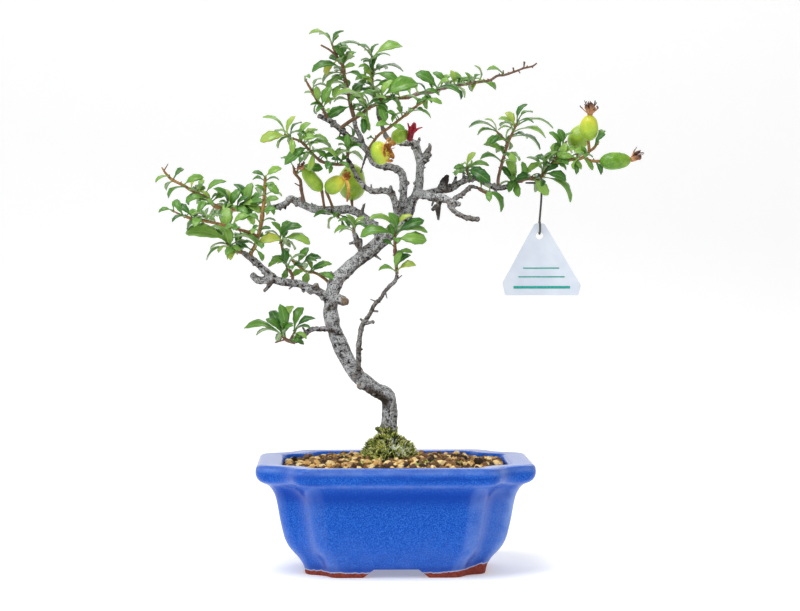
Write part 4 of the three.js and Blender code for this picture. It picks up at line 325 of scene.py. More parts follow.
        tufts=[(-14.6, 264, 2, -0.2, -0.9, 0.2, 12), (-1, 269.6, 3, 0.1, -0.8, 0.5, 12)],
        small=18,
    ),
    "spray_long_shoot": Spray(
        [[(7.6, -3.9, 269.8, 1), (13.5, -2, 272.2, 1), (21.5, 0, 273.2, 0.95), (26.6, 2, 275, 0.9),
          (34.9, 5, 276.6, 0.9), (44.2, 8, 278.4, 0.85), (54.2, 11, 279.8, 0.8), (58.8, 12, 282.4, 0.75),
          (63.2, 13, 283, 0.7), (68.8, 14, 284.9, 0.65), (74, 15, 286.8, 0.6), (79, 16, 288, 0.55),
          (81.6, 16, 289.8, 0.4)],
         [(74, 15, 286.8, 0.5), (74.6, 14.4, 290.6, 0.4)]],
        [(25, 274.4, 12.8, 284.2, -5), (27, 275.2, 31.6, 283.4, 4), (33.6, 276.4, 32.6, 285.4, -4),
         (24, 274.2, 31, 280.2, -7), (21.5, 273.2, 37.4, 273.4, -6), (19, 272.8, 12, 278.6, 4),
         (12, 271.6, 21.6, 267.8, -5), (10, 270.8, 6.6, 276.6, 4), (38, 277.2, 36.4, 282.6, 3),
         (42, 278, 41, 284.4, -3), (45, 278.6, 48.6, 283.6, 2), (54, 279.8, 44.4, 275.4, -4),
         (62.6, 283, 53.4, 286.6, -3), (30, 275.8, 38.6, 269.6, -3)],
        tufts=[(21.5, 273.2, 3, 0.2, 0.9, 0.2, 12), (34.9, 276.6, 2, 0.3, -0.7, 0.4, 9)],
        thorns=[((62.6, 12.9, 282.8, 0.5), (62.2, 12, 285.6, 0.35)),
                ((68.4, 13.8, 284.8, 0.5), (68, 13, 287.2, 0.5)),
                ((71, 14.4, 285.6, 0.45), (72, 13.6, 284, 0.3)),
                ((56, 11.4, 280.6, 0.45), (55.4, 11.6, 278.4, 0.3))],
        small=18, leafy=0.6, young=0.12, tones={11: 0.95},
    ),
    "spray_cross": Spray(
        [[(-14.9, -3.4, 240.4, 0.8), (-11.4, -7, 245.6, 0.8), (-8.5, -9, 249, 0.8),
          (-2.8, -9.6, 252.9, 0.8), (1.9, -9.4, 256.6, 0.8), (7.4, -8.6, 260.8, 0.75),
          (13, -7.4, 265.4, 0.7), (17.6, -6.4, 268, 0.5)]],
        [(8.4, 261.6, 21, 259.8, -3), (2, 256.8, -5.6, 261.6, -4), (-1, 254.2, -10.4, 254.4, -4),
         (-2, 253.4, 5.6, 252.2, -5), (4.4, 258.6, 2.6, 265, 4), (17, 267.6, 27, 267, -4)],
        tufts=[(7.4, 260.8, 2, 0.4, -0.6, -0.2, 11)],
        small=6, young=0.75,
    ),
    "spray_right_front": Spray(
        [[(48.4, 1, 218, 1.1), (53, 2, 215.8, 1.1), (58, 3, 215.6, 0.8)]],
        [(49.6, 217.4, 62, 205.8, -3), (55.6, 215.6, 61.6, 209.6, 4)],
        small=3,
    ),
    "spray_right_cluster": Spray(
        [[(43, 7, 225.4, 0.9), (41.6, 5.6, 228.4, 0.8), (42, 5, 231, 0.5)]],
        [(41.8, 230, 34.2, 230, -4), (42, 230.6, 54, 232, -3), (42, 230.6, 46, 238.6, -4),
         (41.7, 229.6, 52, 226.6, -7), (41.7, 229.4, 56, 222.2, -9)],
        tufts=[(41.8, 230, 3, 0.1, 0.95, 0.3, 12)],
        small=8,
    ),
    "spray_right_upright": Spray(
        [[(59.4, 8.4, 220.4, 1), (59.6, 7, 224, 1), (61, 5, 230, 0.95), (63.2, 3, 238, 0.9),
          (65.6, 1, 245.3, 0.8), (68.5, 0, 251.6, 0.7), (71, -1, 256.8, 0.5)],
         [(65.2, 1.4, 244, 0.6), (58, -1, 251.2, 0.45)]],
        [(71, 256.4, 75.4, 266.6, -3), (70.8, 256.2, 79, 262.6, 4), (70.4, 255, 79.6, 256.6, -4),
         (69, 252.6, 64, 262, 4), (68, 250.6, 60.6, 258.6, -5), (58.4, 250.8, 43.2, 254.6, -3),
         (58.4, 250.6, 47.4, 249.6, 4), (58.6, 250.6, 52.6, 258.4, -4), (60, 249.2, 55, 244, -6),
         (63, 237.4, 51.8, 243.8, -3), (61.6, 232, 49.6, 236, -4), (64, 240, 69.6, 233.6, -6),
         (66.2, 246.6, 84, 242, -3), (66.8, 248, 76.6, 247.4, 5), (68, 250.6, 86.8, 248.8, -4),
         (70, 254.6, 91, 254.6, 3)],
        tufts=[(65.6, 245.3, 3, 0, 1, 0.1, 13), (69, 252.6, 2, 0.1, 0.95, 0.4, 12)],
        small=10, young=0.35,
    ),
    "spray_right_mid": Spray(
        [[(66, 9, 219.5, 1.5), (70.6, 9, 222.4, 1.5), (76, 9, 224, 1.4), (82.8, 9, 223.8, 1.3),
          (86, 9, 227.3, 1.1), (89.8, 9, 231.5, 1.05), (93.2, 8, 236, 1), (96.7, 8, 242, 0.85),
          (98.8, 8, 245.2, 0.5)]],
        [(67.6, 220.6, 59.4, 228.6, -6), (69, 221.6, 65, 234.8, -4), (70.6, 222.6, 60.6, 224, -8),
         (72, 223, 73.6, 233, -6), (75, 224, 84, 232.6, -6), (78, 224, 70.6, 227.6, -8),
         (84.6, 225.6, 77, 236.6, -4), (87, 228.4, 92.6, 239.6, -5), (91, 233.2, 87.6, 243.6, -4),
         (95.4, 239.8, 89.4, 250.6, -2), (96.6, 241.8, 101.6, 250.6, 3), (74, 223.6, 65.6, 216.6, -6),
         (78, 223.8, 88, 214.6, -6), (84, 224.8, 102, 211.8, -4), (85, 226, 98.6, 223.4, -4),
         (90, 231.6, 99, 229, -5)],
        tufts=[(82, 224, 3, 0.1, 1, 0.1, 14), (70.6, 222.4, 2, 0, 0.9, 0.5, 13),
               (93, 236, 2, -0.1, 0.95, 0.2, 11)],
        small=28,
    ),
    "spray_right_end": Spray(
        [[(91.2, 8.4, 233, 1), (96, 7, 234, 1), (100, 6, 234.5, 1), (105.6, 5, 235, 1),
          (109, 4, 236.4, 0.95), (111.6, 4, 239.4, 0.9), (111.2, 4, 245.6, 0.9)],
         [(111.4, 4, 239, 0.75), (114.6, 4, 241.4, 0.7), (117.4, 4, 245, 0.5)],
         [(108.4, 4.2, 236, 0.8), (113, 3, 234, 0.8), (118, 2.2, 233.7, 0.8)],
         [(105, 5, 235, 0.8), (104.8, 8.6, 238.4, 0.8), (103, 11, 241.6, 0.8)]],
        [(99, 234.4, 107.4, 229.8, -5), (97.6, 234.2, 102.6, 241, -5), (107, 235.6, 114, 229, -3),
         (113, 234, 119, 226.4, -4), (115.4, 242.4, 120.6, 249.6, -3), (110.4, 238, 103.6, 239.4, -7),
         (117, 244.6, 118.6, 254, 3)],
        tufts=[(101, 234.6, 3, 0.1, 0.95, -0.1, 12)],
        small=8, leafy=0.7, young=0.9,
    ),
}


# Shared geometry


def placed(points: Iterable[Point]) -> Array:
    """Real places of listed points: each moves along its line of sight from the front.

    Args:
        points: Rows of x, depth steps, z and any further values, which are kept.

    Returns:
        Rows of real x, y, z and the further values, in millimetres about the pot's middle.
    """
    rows = np.array(list(points), float)
    depth = rows[:, 1] * DEPTH_STEP
    spread = 1.0 + depth / VIEW_DISTANCE
    real = rows.copy()
    real[:, 0] = rows[:, 0] * spread + VIEW_ASIDE * depth
    real[:, 1] = depth
    real[:, 2] = VIEW_HEIGHT + (rows[:, 2] - VIEW_HEIGHT) * spread
    return real


def real_place(point: Point) -> Array:
    """Real place of one listed point."""
    return placed([point])[0]


def unit(vectors: Array) -> Array:
    """Vectors scaled to length one, along the last axis."""
    length = np.linalg.norm(vectors, axis=-1, keepdims=True)
    return vectors / np.maximum(length, 1e-12)


def full_turn(count: int) -> Array:
    """Equal angles round a full turn."""
    return 2 * math.pi * np.arange(count) / count


def spokes(side: Array, up: Array, angle: Array) -> Array:
    """Unit vectors at angles from one direction towards another that is square to it."""
    return np.cos(angle)[..., None] * side + np.sin(angle)[..., None] * up


def hump(values: Array, middle: float | Array, reach: float) -> Array:
    """Bell curve of height one about a middle: e to the power of minus the squared share of the reach."""
    return np.exp(-((values - middle) / reach) ** 2)


def ramp(values: Array, reach: float, highest: float = 1.0) -> Array:
    """Values as shares of a reach, held between 0 and the highest."""
    return np.clip(values / reach, 0, highest)


def lattice(cells: Array, seed: int) -> Array:
    """Fixed draw from 0 to 1 for each whole-number cell, by mixing its three numbers."""
    mixed = cells[..., 0] * 73856093 ^ cells[..., 1] * 19349663 ^ cells[..., 2] * 83492791 ^ seed * 2654435
    mixed = (mixed ^ (mixed >> 13)) * 1274126177 & 0xFFFFFFFF
    mixed = (mixed ^ (mixed >> 16)) * 2246822519 & 0xFFFFFFFF
    return (mixed ^ (mixed >> 15)) / 4294967295.0


def noise(points: Array, grain: float, seed: int = 0) -> Array:
    """Smooth noise from -1 to 1: draws at the corners of a cubic lattice, eased in between.

    Args:
        points: Places, in millimetres, in rows of three.
        grain: Size of a lattice cell.
        seed: Which noise.

    Returns:
        One value a point.
    """
    scaled = points / grain
    cell = np.floor(scaled).astype(np.int64)
    part = scaled - cell
    ease = part * part * (3.0 - 2.0 * part)
    total = np.zeros(points.shape[:-1])
    for corner in np.ndindex(2, 2, 2):
        weight = np.prod(np.where(np.array(corner) == 1, ease, 1.0 - ease), axis=-1)
        total += weight * lattice(cell + np.array(corner), seed)
    return 2.0 * total - 1.0


def smooth_path(rows: Array, step: float) -> Array:
    """Points at about equal steps on a smooth curve through given points, other columns alike.

    The curve is a Catmull-Rom cubic: each span leaves its points along the chord of their neighbours.

    Args:
        rows: Points as rows, with x, y, z first.
        step: Wanted spacing, in millimetres.

    Returns:
        The denser rows, with the first and last point kept.
    """
    first = 2 * rows[:1] - rows[1:2]
    last = 2 * rows[-1:] - rows[-2:-1]
    full = np.vstack([first, rows, last])
    spans = np.linalg.norm(np.diff(rows[:, :3], axis=0), axis=1)
    made = []
    for i, span in enumerate(spans):
        t = np.linspace(0, 1, max(2, int(math.ceil(span / step)) + 1))[:-1, None]
        a, b, c, d = full[i], full[i + 1], full[i + 2], full[i + 3]
        made.append(
            0.5 * (2 * b + (c - a) * t + (2 * a - 5 * b + 4 * c - d) * t**2 + (3 * b - a - 3 * c + d) * t**3)
        )
    made.append(rows[-1:])
    return np.vstack(made)


def smooth_profile(pairs: Rows, step: float) -> Array:
    """Pairs at about equal steps on a smooth curve through given pairs."""
    return smooth_path(np.column_stack([np.array(pairs, float), np.zeros(len(pairs))]), step)[:, :2]


def grid_faces(rows: int, columns: int, wrap: bool = False) -> Array:
    """Faces of a grid of points: each joins a point, the next in its row and the two in the next row."""
    i = np.arange(rows - 1)[:, None]
    j = np.arange(columns if wrap else columns - 1)[None, :]
    k = (j + 1) % columns
    quads = [i * columns + j, i * columns + k, (i + 1) * columns + k, (i + 1) * columns + j]
    return np.stack([np.broadcast_to(q, (rows - 1, j.shape[1])) for q in quads], axis=-1).reshape(-1, 4)


def ring_faces(rows: int, columns: int) -> Array:
    """Faces of a grid that closes on itself both ways."""
    closing = grid_faces(2, columns, wrap=True)
    closing = np.where(closing < columns, closing + (rows - 1) * columns, closing - columns)
    return np.vstack([grid_faces(rows, columns, wrap=True), closing])


def cap_faces(ring: Array, centre: int, outward: bool) -> Array:
    """Triangles from a ring of vertex numbers to a centre vertex."""
    following = np.roll(ring, -1)
    pair = (ring, following) if outward else (following, ring)
    return np.stack([*pair, np.full(len(ring), centre), np.full(len(ring), -1)], axis=-1)


@dataclass
class Surface:
    """Vertices, faces and per-vertex values of a piece in the making."""

    vertices: list[Array] = field(default_factory=list)
    faces: list[Array] = field(default_factory=list)
    values: dict[str, list[Array]] = field(default_factory=dict)
    finishes: list[Array] = field(default_factory=list)
    count: int = 0

    def add(self, points: Array, faces: Array, finish: int = 0, **values: Array | float) -> None:
        """Adds a patch.

        Args:
            points: Its vertices, rows of three, in millimetres.
            faces: Its faces, as rows of four vertex numbers, or three with -1 last.
            finish: Number of its material.
            **values: Named values, one for the patch or one a vertex. Every patch gives the same names.
        """
        points = points.reshape(-1, 3)
        self.vertices.append(points)
        self.faces.append(np.where(faces < 0, -1, faces + self.count))
        self.finishes.append(np.full(len(faces), finish))
        for name, value in values.items():
            spread = np.broadcast_to(np.asarray(value, float).reshape(-1), (len(points),))
            self.values.setdefault(name, []).append(spread)
        self.count += len(points)

    def add_shell(self, rings: Array, ends: Rows, finish: int = 0, **values: Array | float) -> None:
        """Adds a closed shell: rings of equal points, with a fan to a point at each end.

        Args:
            rings: Its rings, one after another.
            ends: The closing points of the first ring and the last.
            finish: Number of its material.
            **values: Named values, one for the shell or one a point, the closing points last.
        """
        rows, count = rings.shape[:2]
        total = rows * count
        faces = np.vstack([
            grid_faces(rows, count, wrap=True),
            cap_faces(np.arange(count), total, False),
            cap_faces(np.arange(total - count, total), total + 1, True),
        ])
        self.add(np.vstack([rings.reshape(-1, 3), *ends]), faces, finish, **values)

    def add_copies(self, copies: Array, pattern: Array, **values: Array | float) -> None:
        """Adds many small shapes of one pattern of faces.

        Args:
            copies: Their points, one block a shape.
            pattern: Faces of one shape.
            **values: Named values, one a point.
        """
        number, size = copies.shape[:2]
        offsets = (np.arange(number) * size)[:, None, None]
        every = np.where(pattern[None] < 0, -1, pattern[None] + offsets).reshape(-1, 4)
        self.add(copies, every, **values)

    def add_tube(self, rows: Array, sides: int, finish: int = 0, relief: Array | float = 0.0,
                 **values: Array | float) -> None:
        """Adds a closed round tube along a path: rings of equal points about it, closed at each end.

        The side of each ring is carried along the path without twist.

        Args:
            rows: Path as rows of x, y, z, radius.
            sides: Points in a ring.
            finish: Number of its material.
            relief: Share added to the radius, one for all or one a ring and side.
            **values: Named values, one for all or one a ring.
        """
        centres, radius = rows[:, :3], rows[:, 3]
        ahead = unit(np.gradient(centres, axis=0))
        side = np.cross([0.0, 1.0, 0.0] if abs(ahead[0][1]) < 0.9 else [1.0, 0.0, 0.0], ahead[0])
        across = np.empty_like(centres)
        for i, direction in enumerate(ahead):
            side = side - direction * side.dot(direction)
            side = side / np.linalg.norm(side)
            across[i] = side
        up = np.cross(ahead, across)
        reach = radius[:, None] * (1.0 + np.broadcast_to(relief, (len(rows), sides)))
        around = spokes(across[:, None], up[:, None], full_turn(sides)[None])
        rings = centres[:, None] + reach[..., None] * around
        ends = [centres[0] - 0.4 * radius[0] * ahead[0], centres[-1] + 0.4 * radius[-1] * ahead[-1]]
        spread = {}
        for name, value in values.items():
            each = np.broadcast_to(np.asarray(value, float), (len(rows),))
            spread[name] = np.concatenate([np.repeat(each, sides), each[:1], each[-1:]])
        self.add_shell(rings, ends, finish, **spread)


def read(items: bpy.types.bpy_prop_collection, name: str, width: int = 1, kind: type = float) -> Array:
    """Values of a property of every vertex, corner or face.

    Args:
        items: The vertices, corners or faces.
        name: The property.
        width: Numbers in one value.
        kind: Type of the numbers.

    Returns:
        One value a place, or one row a place where it has more numbers than one.
    """
    values = np.empty(len(items) * width, kind)
    items.foreach_get(name, values)
    return values.reshape(-1, width) if width > 1 else values


def worked(piece: bpy.types.Object) -> bpy.types.Mesh:
    """New mesh of a piece with its modifiers at work."""
    graph = bpy.context.evaluated_depsgraph_get()
    return bpy.data.meshes.new_from_object(piece.evaluated_get(graph))


def make_piece(name: str, surface: Surface, materials: Sequence[bpy.types.Material],
               uv: tuple[str, str] | None = None) -> bpy.types.Object:
    """Smooth-shaded mesh object from a surface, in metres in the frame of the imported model.

    Args:
        name: Name of the piece.
        surface: Its shape, in millimetres.
        materials: Its materials, in the order of the surface's finish numbers.
        uv: Names of the two values that make its UV map.

    Returns:
        The new object, at the origin, with its place in its mesh.
    """
    mesh = bpy.data.meshes.new(name)
    points = (np.vstack(surface.vertices) + ORIGIN) * MM
    faces = np.vstack(surface.faces)
    triangle = faces[:, 3] < 0
    sizes = np.where(triangle, 3, 4)
    keep = np.ones(faces.shape, bool)
    keep[triangle, 3] = False
    corners = faces[keep]
    mesh.vertices.add(len(points))
    mesh.vertices.foreach_set("co", points.astype(np.float32).ravel())
    mesh.loops.add(len(corners))
    mesh.loops.foreach_set("vertex_index", corners.astype(np.int32))
    mesh.polygons.add(len(faces))
    starts = np.concatenate([[0], np.cumsum(sizes)[:-1]])
    mesh.polygons.foreach_set("loop_start", starts.astype(np.int32))
    mesh.polygons.foreach_set("material_index", np.concatenate(surface.finishes).astype(np.int32))
    mesh.polygons.foreach_set("use_smooth", np.ones(len(faces), bool))
    mesh.update(calc_edges=True)
    for key, parts in surface.values.items():
        attribute = mesh.attributes.new(key, "FLOAT", "POINT")
        attribute.data.foreach_set("value", np.concatenate(parts).astype(np.float32))
    if uv is not None:
        layer = mesh.uv_layers.new(name="UVMap")
        u, v = (np.concatenate(surface.values[key])[corners] for key in uv)
        layer.data.foreach_set("uv", np.stack([u, v], axis=-1).astype(np.float32).ravel())
    for material in materials:
        mesh.materials.append(material)
    piece = bpy.data.objects.new(name, mesh)
    bpy.context.scene.collection.objects.link(piece)
    return piece


def settle(piece: bpy.types.Object, slot: str, *nodes: str) -> None:
    """Lets a finished piece ride on the object, in place of the nodes it replaces."""
    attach(piece, "root")
    if nodes:
        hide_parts(*nodes)
    piece.data.calc_loop_triangles()
    log.info("%s: %d triangles", piece.name, len(piece.data.loop_triangles))


# Finishes


def colour(code: str) -> tuple[float, float, float, float]:
    """Linear colour from an sRGB hex value such as #2f5cc4."""
    channels = np.array([int(code[i:i + 2], 16) for i in (1, 3, 5)]) / 255.0
    linear = np.where(channels <= 0.04045, channels / 12.92, ((channels + 0.055) / 1.055) ** 2.4)
    return (float(linear[0]), float(linear[1]), float(linear[2]), 1.0)


def node(tree: Tree, kind: str, inputs: Inputs | None = None, stops: Sequence[tuple[float, str]] = (),
         out: str | None = None, **settings: object) -> Socket | None:
    """Adds a node with its settings, inputs and links.

    Args:
        tree: The material's node tree.
        kind: The node's type, without its first words.
        inputs: Value, or output of another node, for each input by name or number.
        stops: Places and hex colours of a colour ramp.
        out: Name of the output that is wanted, where it isn't the first in use.
        **settings: Properties of the node.

    Returns:
        The wanted output, or none where the node has none.
    """
    made = tree.nodes.new("ShaderNode" + kind)
    for key, value in settings.items():
        setattr(made, key, value)
    for number, (place, code) in enumerate(stops):
        elements = made.color_ramp.elements
        stop = elements[number] if number < 2 else elements.new(place)
        stop.position = place
        stop.color = colour(code)
    for key, value in (inputs or {}).items():
        if isinstance(value, Socket):
            tree.links.new(value, made.inputs[key])
        else:
            made.inputs[key].default_value = value
    return made.outputs[out] if out else next((end for end in made.outputs if end.enabled), None)


def coats(tree: Tree, base: Socket, layers: Sequence[tuple[object, object]]) -> Socket:
    """Lays colours over a base one after another, each by its share.

    Args:
        tree: The material's node tree.
        base: The colour that lies lowest.
        layers: Share and colour of each coat. A share is a number, an output, or the name of a value that
            the piece has at each point. A colour is a hex value or an output.

    Returns:
        The colour that shows.
    """
    for share, tint in layers:
        if isinstance(share, str):
            share = node(tree, "Attribute", out="Fac", attribute_name=share)
        tint = colour(tint) if isinstance(tint, str) else tint
        base = node(tree, "Mix", {0: share, 6: base, 7: tint}, data_type="RGBA")
    return base


def varied(tree: Tree, name: str, pattern: Socket, amount: float) -> Socket:
    """A value that the piece has at each point, raised and lowered by a pattern, from 0 to 1.

    Args:
        tree: The material's node tree.
        name: Name of the value.
        pattern: The pattern, from 0 to 1.
        amount: Height of the pattern's swing.

    Returns:
        The varied value.
    """
    value = node(tree, "Attribute", out="Fac", attribute_name=name)
    swing = node(tree, "Math", {0: pattern, 1: amount, 2: -amount / 2}, operation="MULTIPLY_ADD")
    return node(tree, "Math", {0: value, 1: swing}, operation="ADD", use_clamp=True)


class Finish:
    """A finish, made as a material of its name."""

    name: str

    def shader(self, tree: Tree, place: Socket) -> Inputs:
        """Inputs of its surface shader, from places on the piece."""
        raise NotImplementedError

    def material(self) -> bpy.types.Material:
        """New material with its surface shader."""
        made = bpy.data.materials.new(self.name)
        made.use_nodes = True
        tree = made.node_tree
        tree.nodes.clear()
        place = node(tree, "TexCoord", out="Object")
        surface = node(tree, "BsdfPrincipled", self.shader(tree, place))
        node(tree, "OutputMaterial", {"Surface": surface})
        return made


@dataclass(frozen=True)
class CobaltGlaze(Finish):
    """Cobalt glaze fired on stoneware: glossy, finely mottled where it ran, paler where it is thin over edges
    and where highlights and the lit right side are painted on, darker where it pools and with painted
    shade in the neck under the lip, with the red-brown clay bare where the feet stood in the kiln."""

    name: str = "cobalt_glaze_on_stoneware"
    body: str = "#0f52b6"
    mottle: str = "#3a77d6"
    # Pooled glaze colour, also used for the painted shade in the neck under the lip.
    pool: str = "#00389c"
    # Pale thin glaze, also the colour of painted highlights on edges and of the lit right side.
    thin: str = "#7f9bd6"
    clay: str = "#96452f"
    burnt_clay: str = "#7c3325"
    margin: str = "#b9bccb"
    sheen: str = "#a6c0ff"
    speckle_mm: float = 0.65
    run_mm: float = 9.0

    def shader(self, tree: Tree, place: Socket) -> Inputs:
        """Speckle and slow runs on Object coordinates; thin edges with their painted highlights, pooling with
        the neck's painted shade, and bare clay from the piece's values.
        """
        fine = node(tree, "TexNoise", {"Vector": place, "Scale": 1 / (self.speckle_mm * MM), "Detail": 3.0,
                                       "Roughness": 0.7})
        slow = node(tree, "TexNoise", {"Vector": place, "Scale": 1 / (self.run_mm * MM), "Detail": 2.0})
        tones = [(0.4, self.pool), (0.5, self.body), (0.61, self.mottle)]
        mottled = node(tree, "ValToRGB", {"Fac": fine}, tones)
        patch = node(tree, "ValToRGB", {"Fac": slow}, [(0.35, "#000000"), (0.68, "#ffffff")])
        breaks = node(tree, "Attribute", out="Fac", attribute_name="breaks")
        wavering = node(tree, "Math", {0: breaks, 1: patch, 2: 0.0}, operation="MULTIPLY_ADD")
        broken = node(tree, "Math", {0: breaks, 1: wavering}, operation="ADD")
        share = node(tree, "Math", {0: broken, 1: 0.5}, operation="MULTIPLY", use_clamp=True)
        bare = node(tree, "Attribute", out="Fac", attribute_name="bare")
        wave = node(tree, "TexNoise", {"Vector": place, "Scale": 1 / (2.6 * MM), "Detail": 3.0})
        line = node(tree, "Math", {0: wave, 1: 1.7, 2: -0.85}, operation="MULTIPLY_ADD")
        edge = node(tree, "Math", {0: bare, 1: line}, operation="ADD")
        rim = node(tree, "MapRange", {"Value": edge, "From Min": -0.7, "From Max": -0.25})
        foot = node(tree, "MapRange", {"Value": edge, "From Min": -0.1, "From Max": 0.15})
        grit = node(tree, "TexNoise", {"Vector": place, "Scale": 1 / (1.4 * MM), "Detail": 5.0})
        clay = node(tree, "ValToRGB", {"Fac": grit}, [(0.35, self.burnt_clay), (0.62, self.clay)])
        # The pale coat is thin glaze with painted highlights and painted light on the right side; the pool
        # coat is pooled glaze with painted shade in the neck.
        final = coats(tree, mottled, [(0.3, self.body), ("pooled", self.pool), (share, self.thin),
                                      (rim, self.margin), (foot, clay)])
        rough = node(tree, "MapRange", {"Value": foot, "To Min": 0.14, "To Max": 0.8})
        peel = node(tree, "TexNoise", {"Vector": place, "Scale": 1 / (3.2 * MM), "Detail": 1.0})
        bump = node(tree, "Bump", {"Height": peel, "Strength": 0.25, "Distance": 0.35 * MM})
        return {"Base Color": final, "Roughness": rough, "IOR": 1.33, "Specular Tint": colour(self.sheen),
                "Normal": bump}


@dataclass(frozen=True)
class QuinceBark(Finish):
    """Old quince bark: thin and dry, grey with a silvery bloom, flecked with dark lenticels and browner in
    cracks, on young wood and at cut or dead ends, with painted shade in its crevices, its hollows and under
    its limbs."""

    name: str = "quince_bark"
    silver: str = "#c6c8ca"
    grey: str = "#979695"
    # Cracks in the bark, also the colour of the painted shade in hollows.
    crack: str = "#30261b"
    # Lenticel flecks, also the colour of the painted crevice shade.
    fleck: str = "#1b140d"
    # Brown of young wood, also the painted shade on the undersides of limbs.
    young: str = "#4c3b29"
    heart: str = "#7d6341"
    dead: str = "#1d1512"
    moss: str = "#5f6f22"

    def shader(self, tree: Tree, place: Socket) -> Inputs:
        """Patches, flecks and cracks on Object coordinates; young wood with painted underside shade, painted
        shade in crevices and hollows, and cut and dead wood from values.
        """
        patch = node(tree, "TexNoise", {"Vector": place, "Scale": 1 / (2.6 * MM), "Detail": 7.0,
                                        "Roughness": 0.74})
        base = node(tree, "ValToRGB", {"Fac": patch},
                    [(0.33, self.crack), (0.43, self.grey), (0.55, self.silver), (0.76, self.grey)])
        fleck = node(tree, "TexNoise", {"Vector": place, "Scale": 1 / (0.62 * MM), "Detail": 2.0,
                                        "Roughness": 0.6})
        dotted = node(tree, "MapRange", {"Value": fleck, "From Min": 0.54, "From Max": 0.6, "To Max": 0.95})
        crevice = node(tree, "Attribute", out="Fac", attribute_name="crevice")
        # Lenticel dots and the painted crevice shade share one dark coat.
        spots = node(tree, "Math", {0: dotted, 1: crevice}, operation="MAXIMUM")
        # The young coat also paints shade on limb undersides, the fleck coat paints crevice shade, and the
        # crack coat paints shade in hollows.
        final = coats(tree, base, [("young", self.young), (spots, self.fleck), ("hollow", self.crack),
                                   ("cut", self.heart), ("dead", self.dead), ("mossy", self.moss)])
        height = node(tree, "Math", {0: patch, 1: spots}, operation="SUBTRACT")
        bump = node(tree, "Bump", {"Height": height, "Strength": 0.8, "Distance": 0.5 * MM})
        return {"Base Color": final, "Roughness": 0.86, "IOR": 1.45, "Normal": bump}


@dataclass(frozen=True)
class YoungStem(Finish):
    """Young shoot: thin orange-brown skin with pale dots, turning dark red-brown with age."""

    name: str = "young_quince_stem"
    shoot: str = "#a27c35"
    brown: str = "#7a573c"
    old: str = "#9a8579"
    shade: str = "#7a6a60"

    def shader(self, tree: Tree, place: Socket) -> Inputs:
        """Brown to orange along the shoot by its age value, with fine dots on Object coordinates."""
        age = node(tree, "Attribute", out="Fac", attribute_name="tone")
        base = node(tree, "ValToRGB", {"Fac": age}, [(0.0, self.old), (0.35, self.brown), (1.0, self.shoot)])
        grain = node(tree, "TexNoise", {"Vector": place, "Scale": 1 / (0.9 * MM), "Detail": 4.0})
        shade = node(tree, "ValToRGB", {"Fac": grain}, [(0.38, self.shade), (0.6, "#ffffff")])
        final = node(tree, "Mix", {0: 0.75, 6: base, 7: shade}, data_type="RGBA", blend_type="MULTIPLY")
        bump = node(tree, "Bump", {"Height": grain, "Strength": 0.5, "Distance": 0.2 * MM})
        return {"Base Color": final, "Roughness": 0.55, "Normal": bump}


@dataclass(frozen=True)
class QuinceLeaf(Finish):
    """Leathery leaf: glossy green above with a sunk pale midrib and side veins, matt and paler below."""

    name: str = "quince_leaf"
    dark: str = "#2b5d1f"
    green: str = "#52832b"
    light: str = "#84a948"
    yellow: str = "#b0b03c"
    below: str = "#a3b68c"
    vein: str = "#94b56c"

    def shader(self, tree: Tree, place: Socket) -> Inputs:
        """Tone from the leaf's own value, veins on its UV map, below and above from a value."""
        blotch = node(tree, "TexNoise", {"Vector": place, "Scale": 1 / (5 * MM), "Detail": 2.0})
        skin = node(tree, "ValToRGB", {"Fac": varied(tree, "tone", blotch, 0.3)},
                    [(0.12, self.dark), (0.45, self.green), (0.8, self.light), (1.0, self.yellow)])
        along = node(tree, "SeparateXYZ", {0: place.node.outputs["UV"]})
        across = node(tree, "Math", {0: along.node.outputs["Y"]}, operation="ABSOLUTE")
        midrib = node(tree, "MapRange", {"Value": across, "From Min": 0.13, "From Max": 0.03})
        slant = node(tree, "Math", {0: across, 1: -0.16, 2: along}, operation="MULTIPLY_ADD")
        wave = node(tree, "Math", {0: slant, 1: 62.0}, operation="MULTIPLY")
        comb = node(tree, "Math", {0: wave}, operation="SINE")
        veins = node(tree, "MapRange", {"Value": comb, "From Min": 0.72, "From Max": 1.0, "To Max": 0.3})
        lines = node(tree, "Math", {0: midrib, 1: veins}, operation="MAXIMUM")
        drawn = node(tree, "Math", {0: lines, 1: 0.45}, operation="MULTIPLY")
        under = node(tree, "Attribute", out="Fac", attribute_name="under")
        paler = node(tree, "MapRange", {"Value": under, "From Min": 0.05, "From Max": 0.3, "To Max": 0.8})
        final = coats(tree, skin, [(drawn, self.vein), (paler, self.below)])
        rough = node(tree, "MapRange", {"Value": under, "To Min": 0.3, "To Max": 0.6})
        bump = node(tree, "Bump", {"Height": lines, "Strength": 0.5, "Distance": -0.15 * MM})
        return {"Base Color": final, "Roughness": rough, "IOR": 1.42, "Subsurface Weight": 0.12,
                "Subsurface Radius": (0.8 * MM, 1.6 * MM, 0.3 * MM), "Subsurface Scale": 1.0, "Normal": bump}


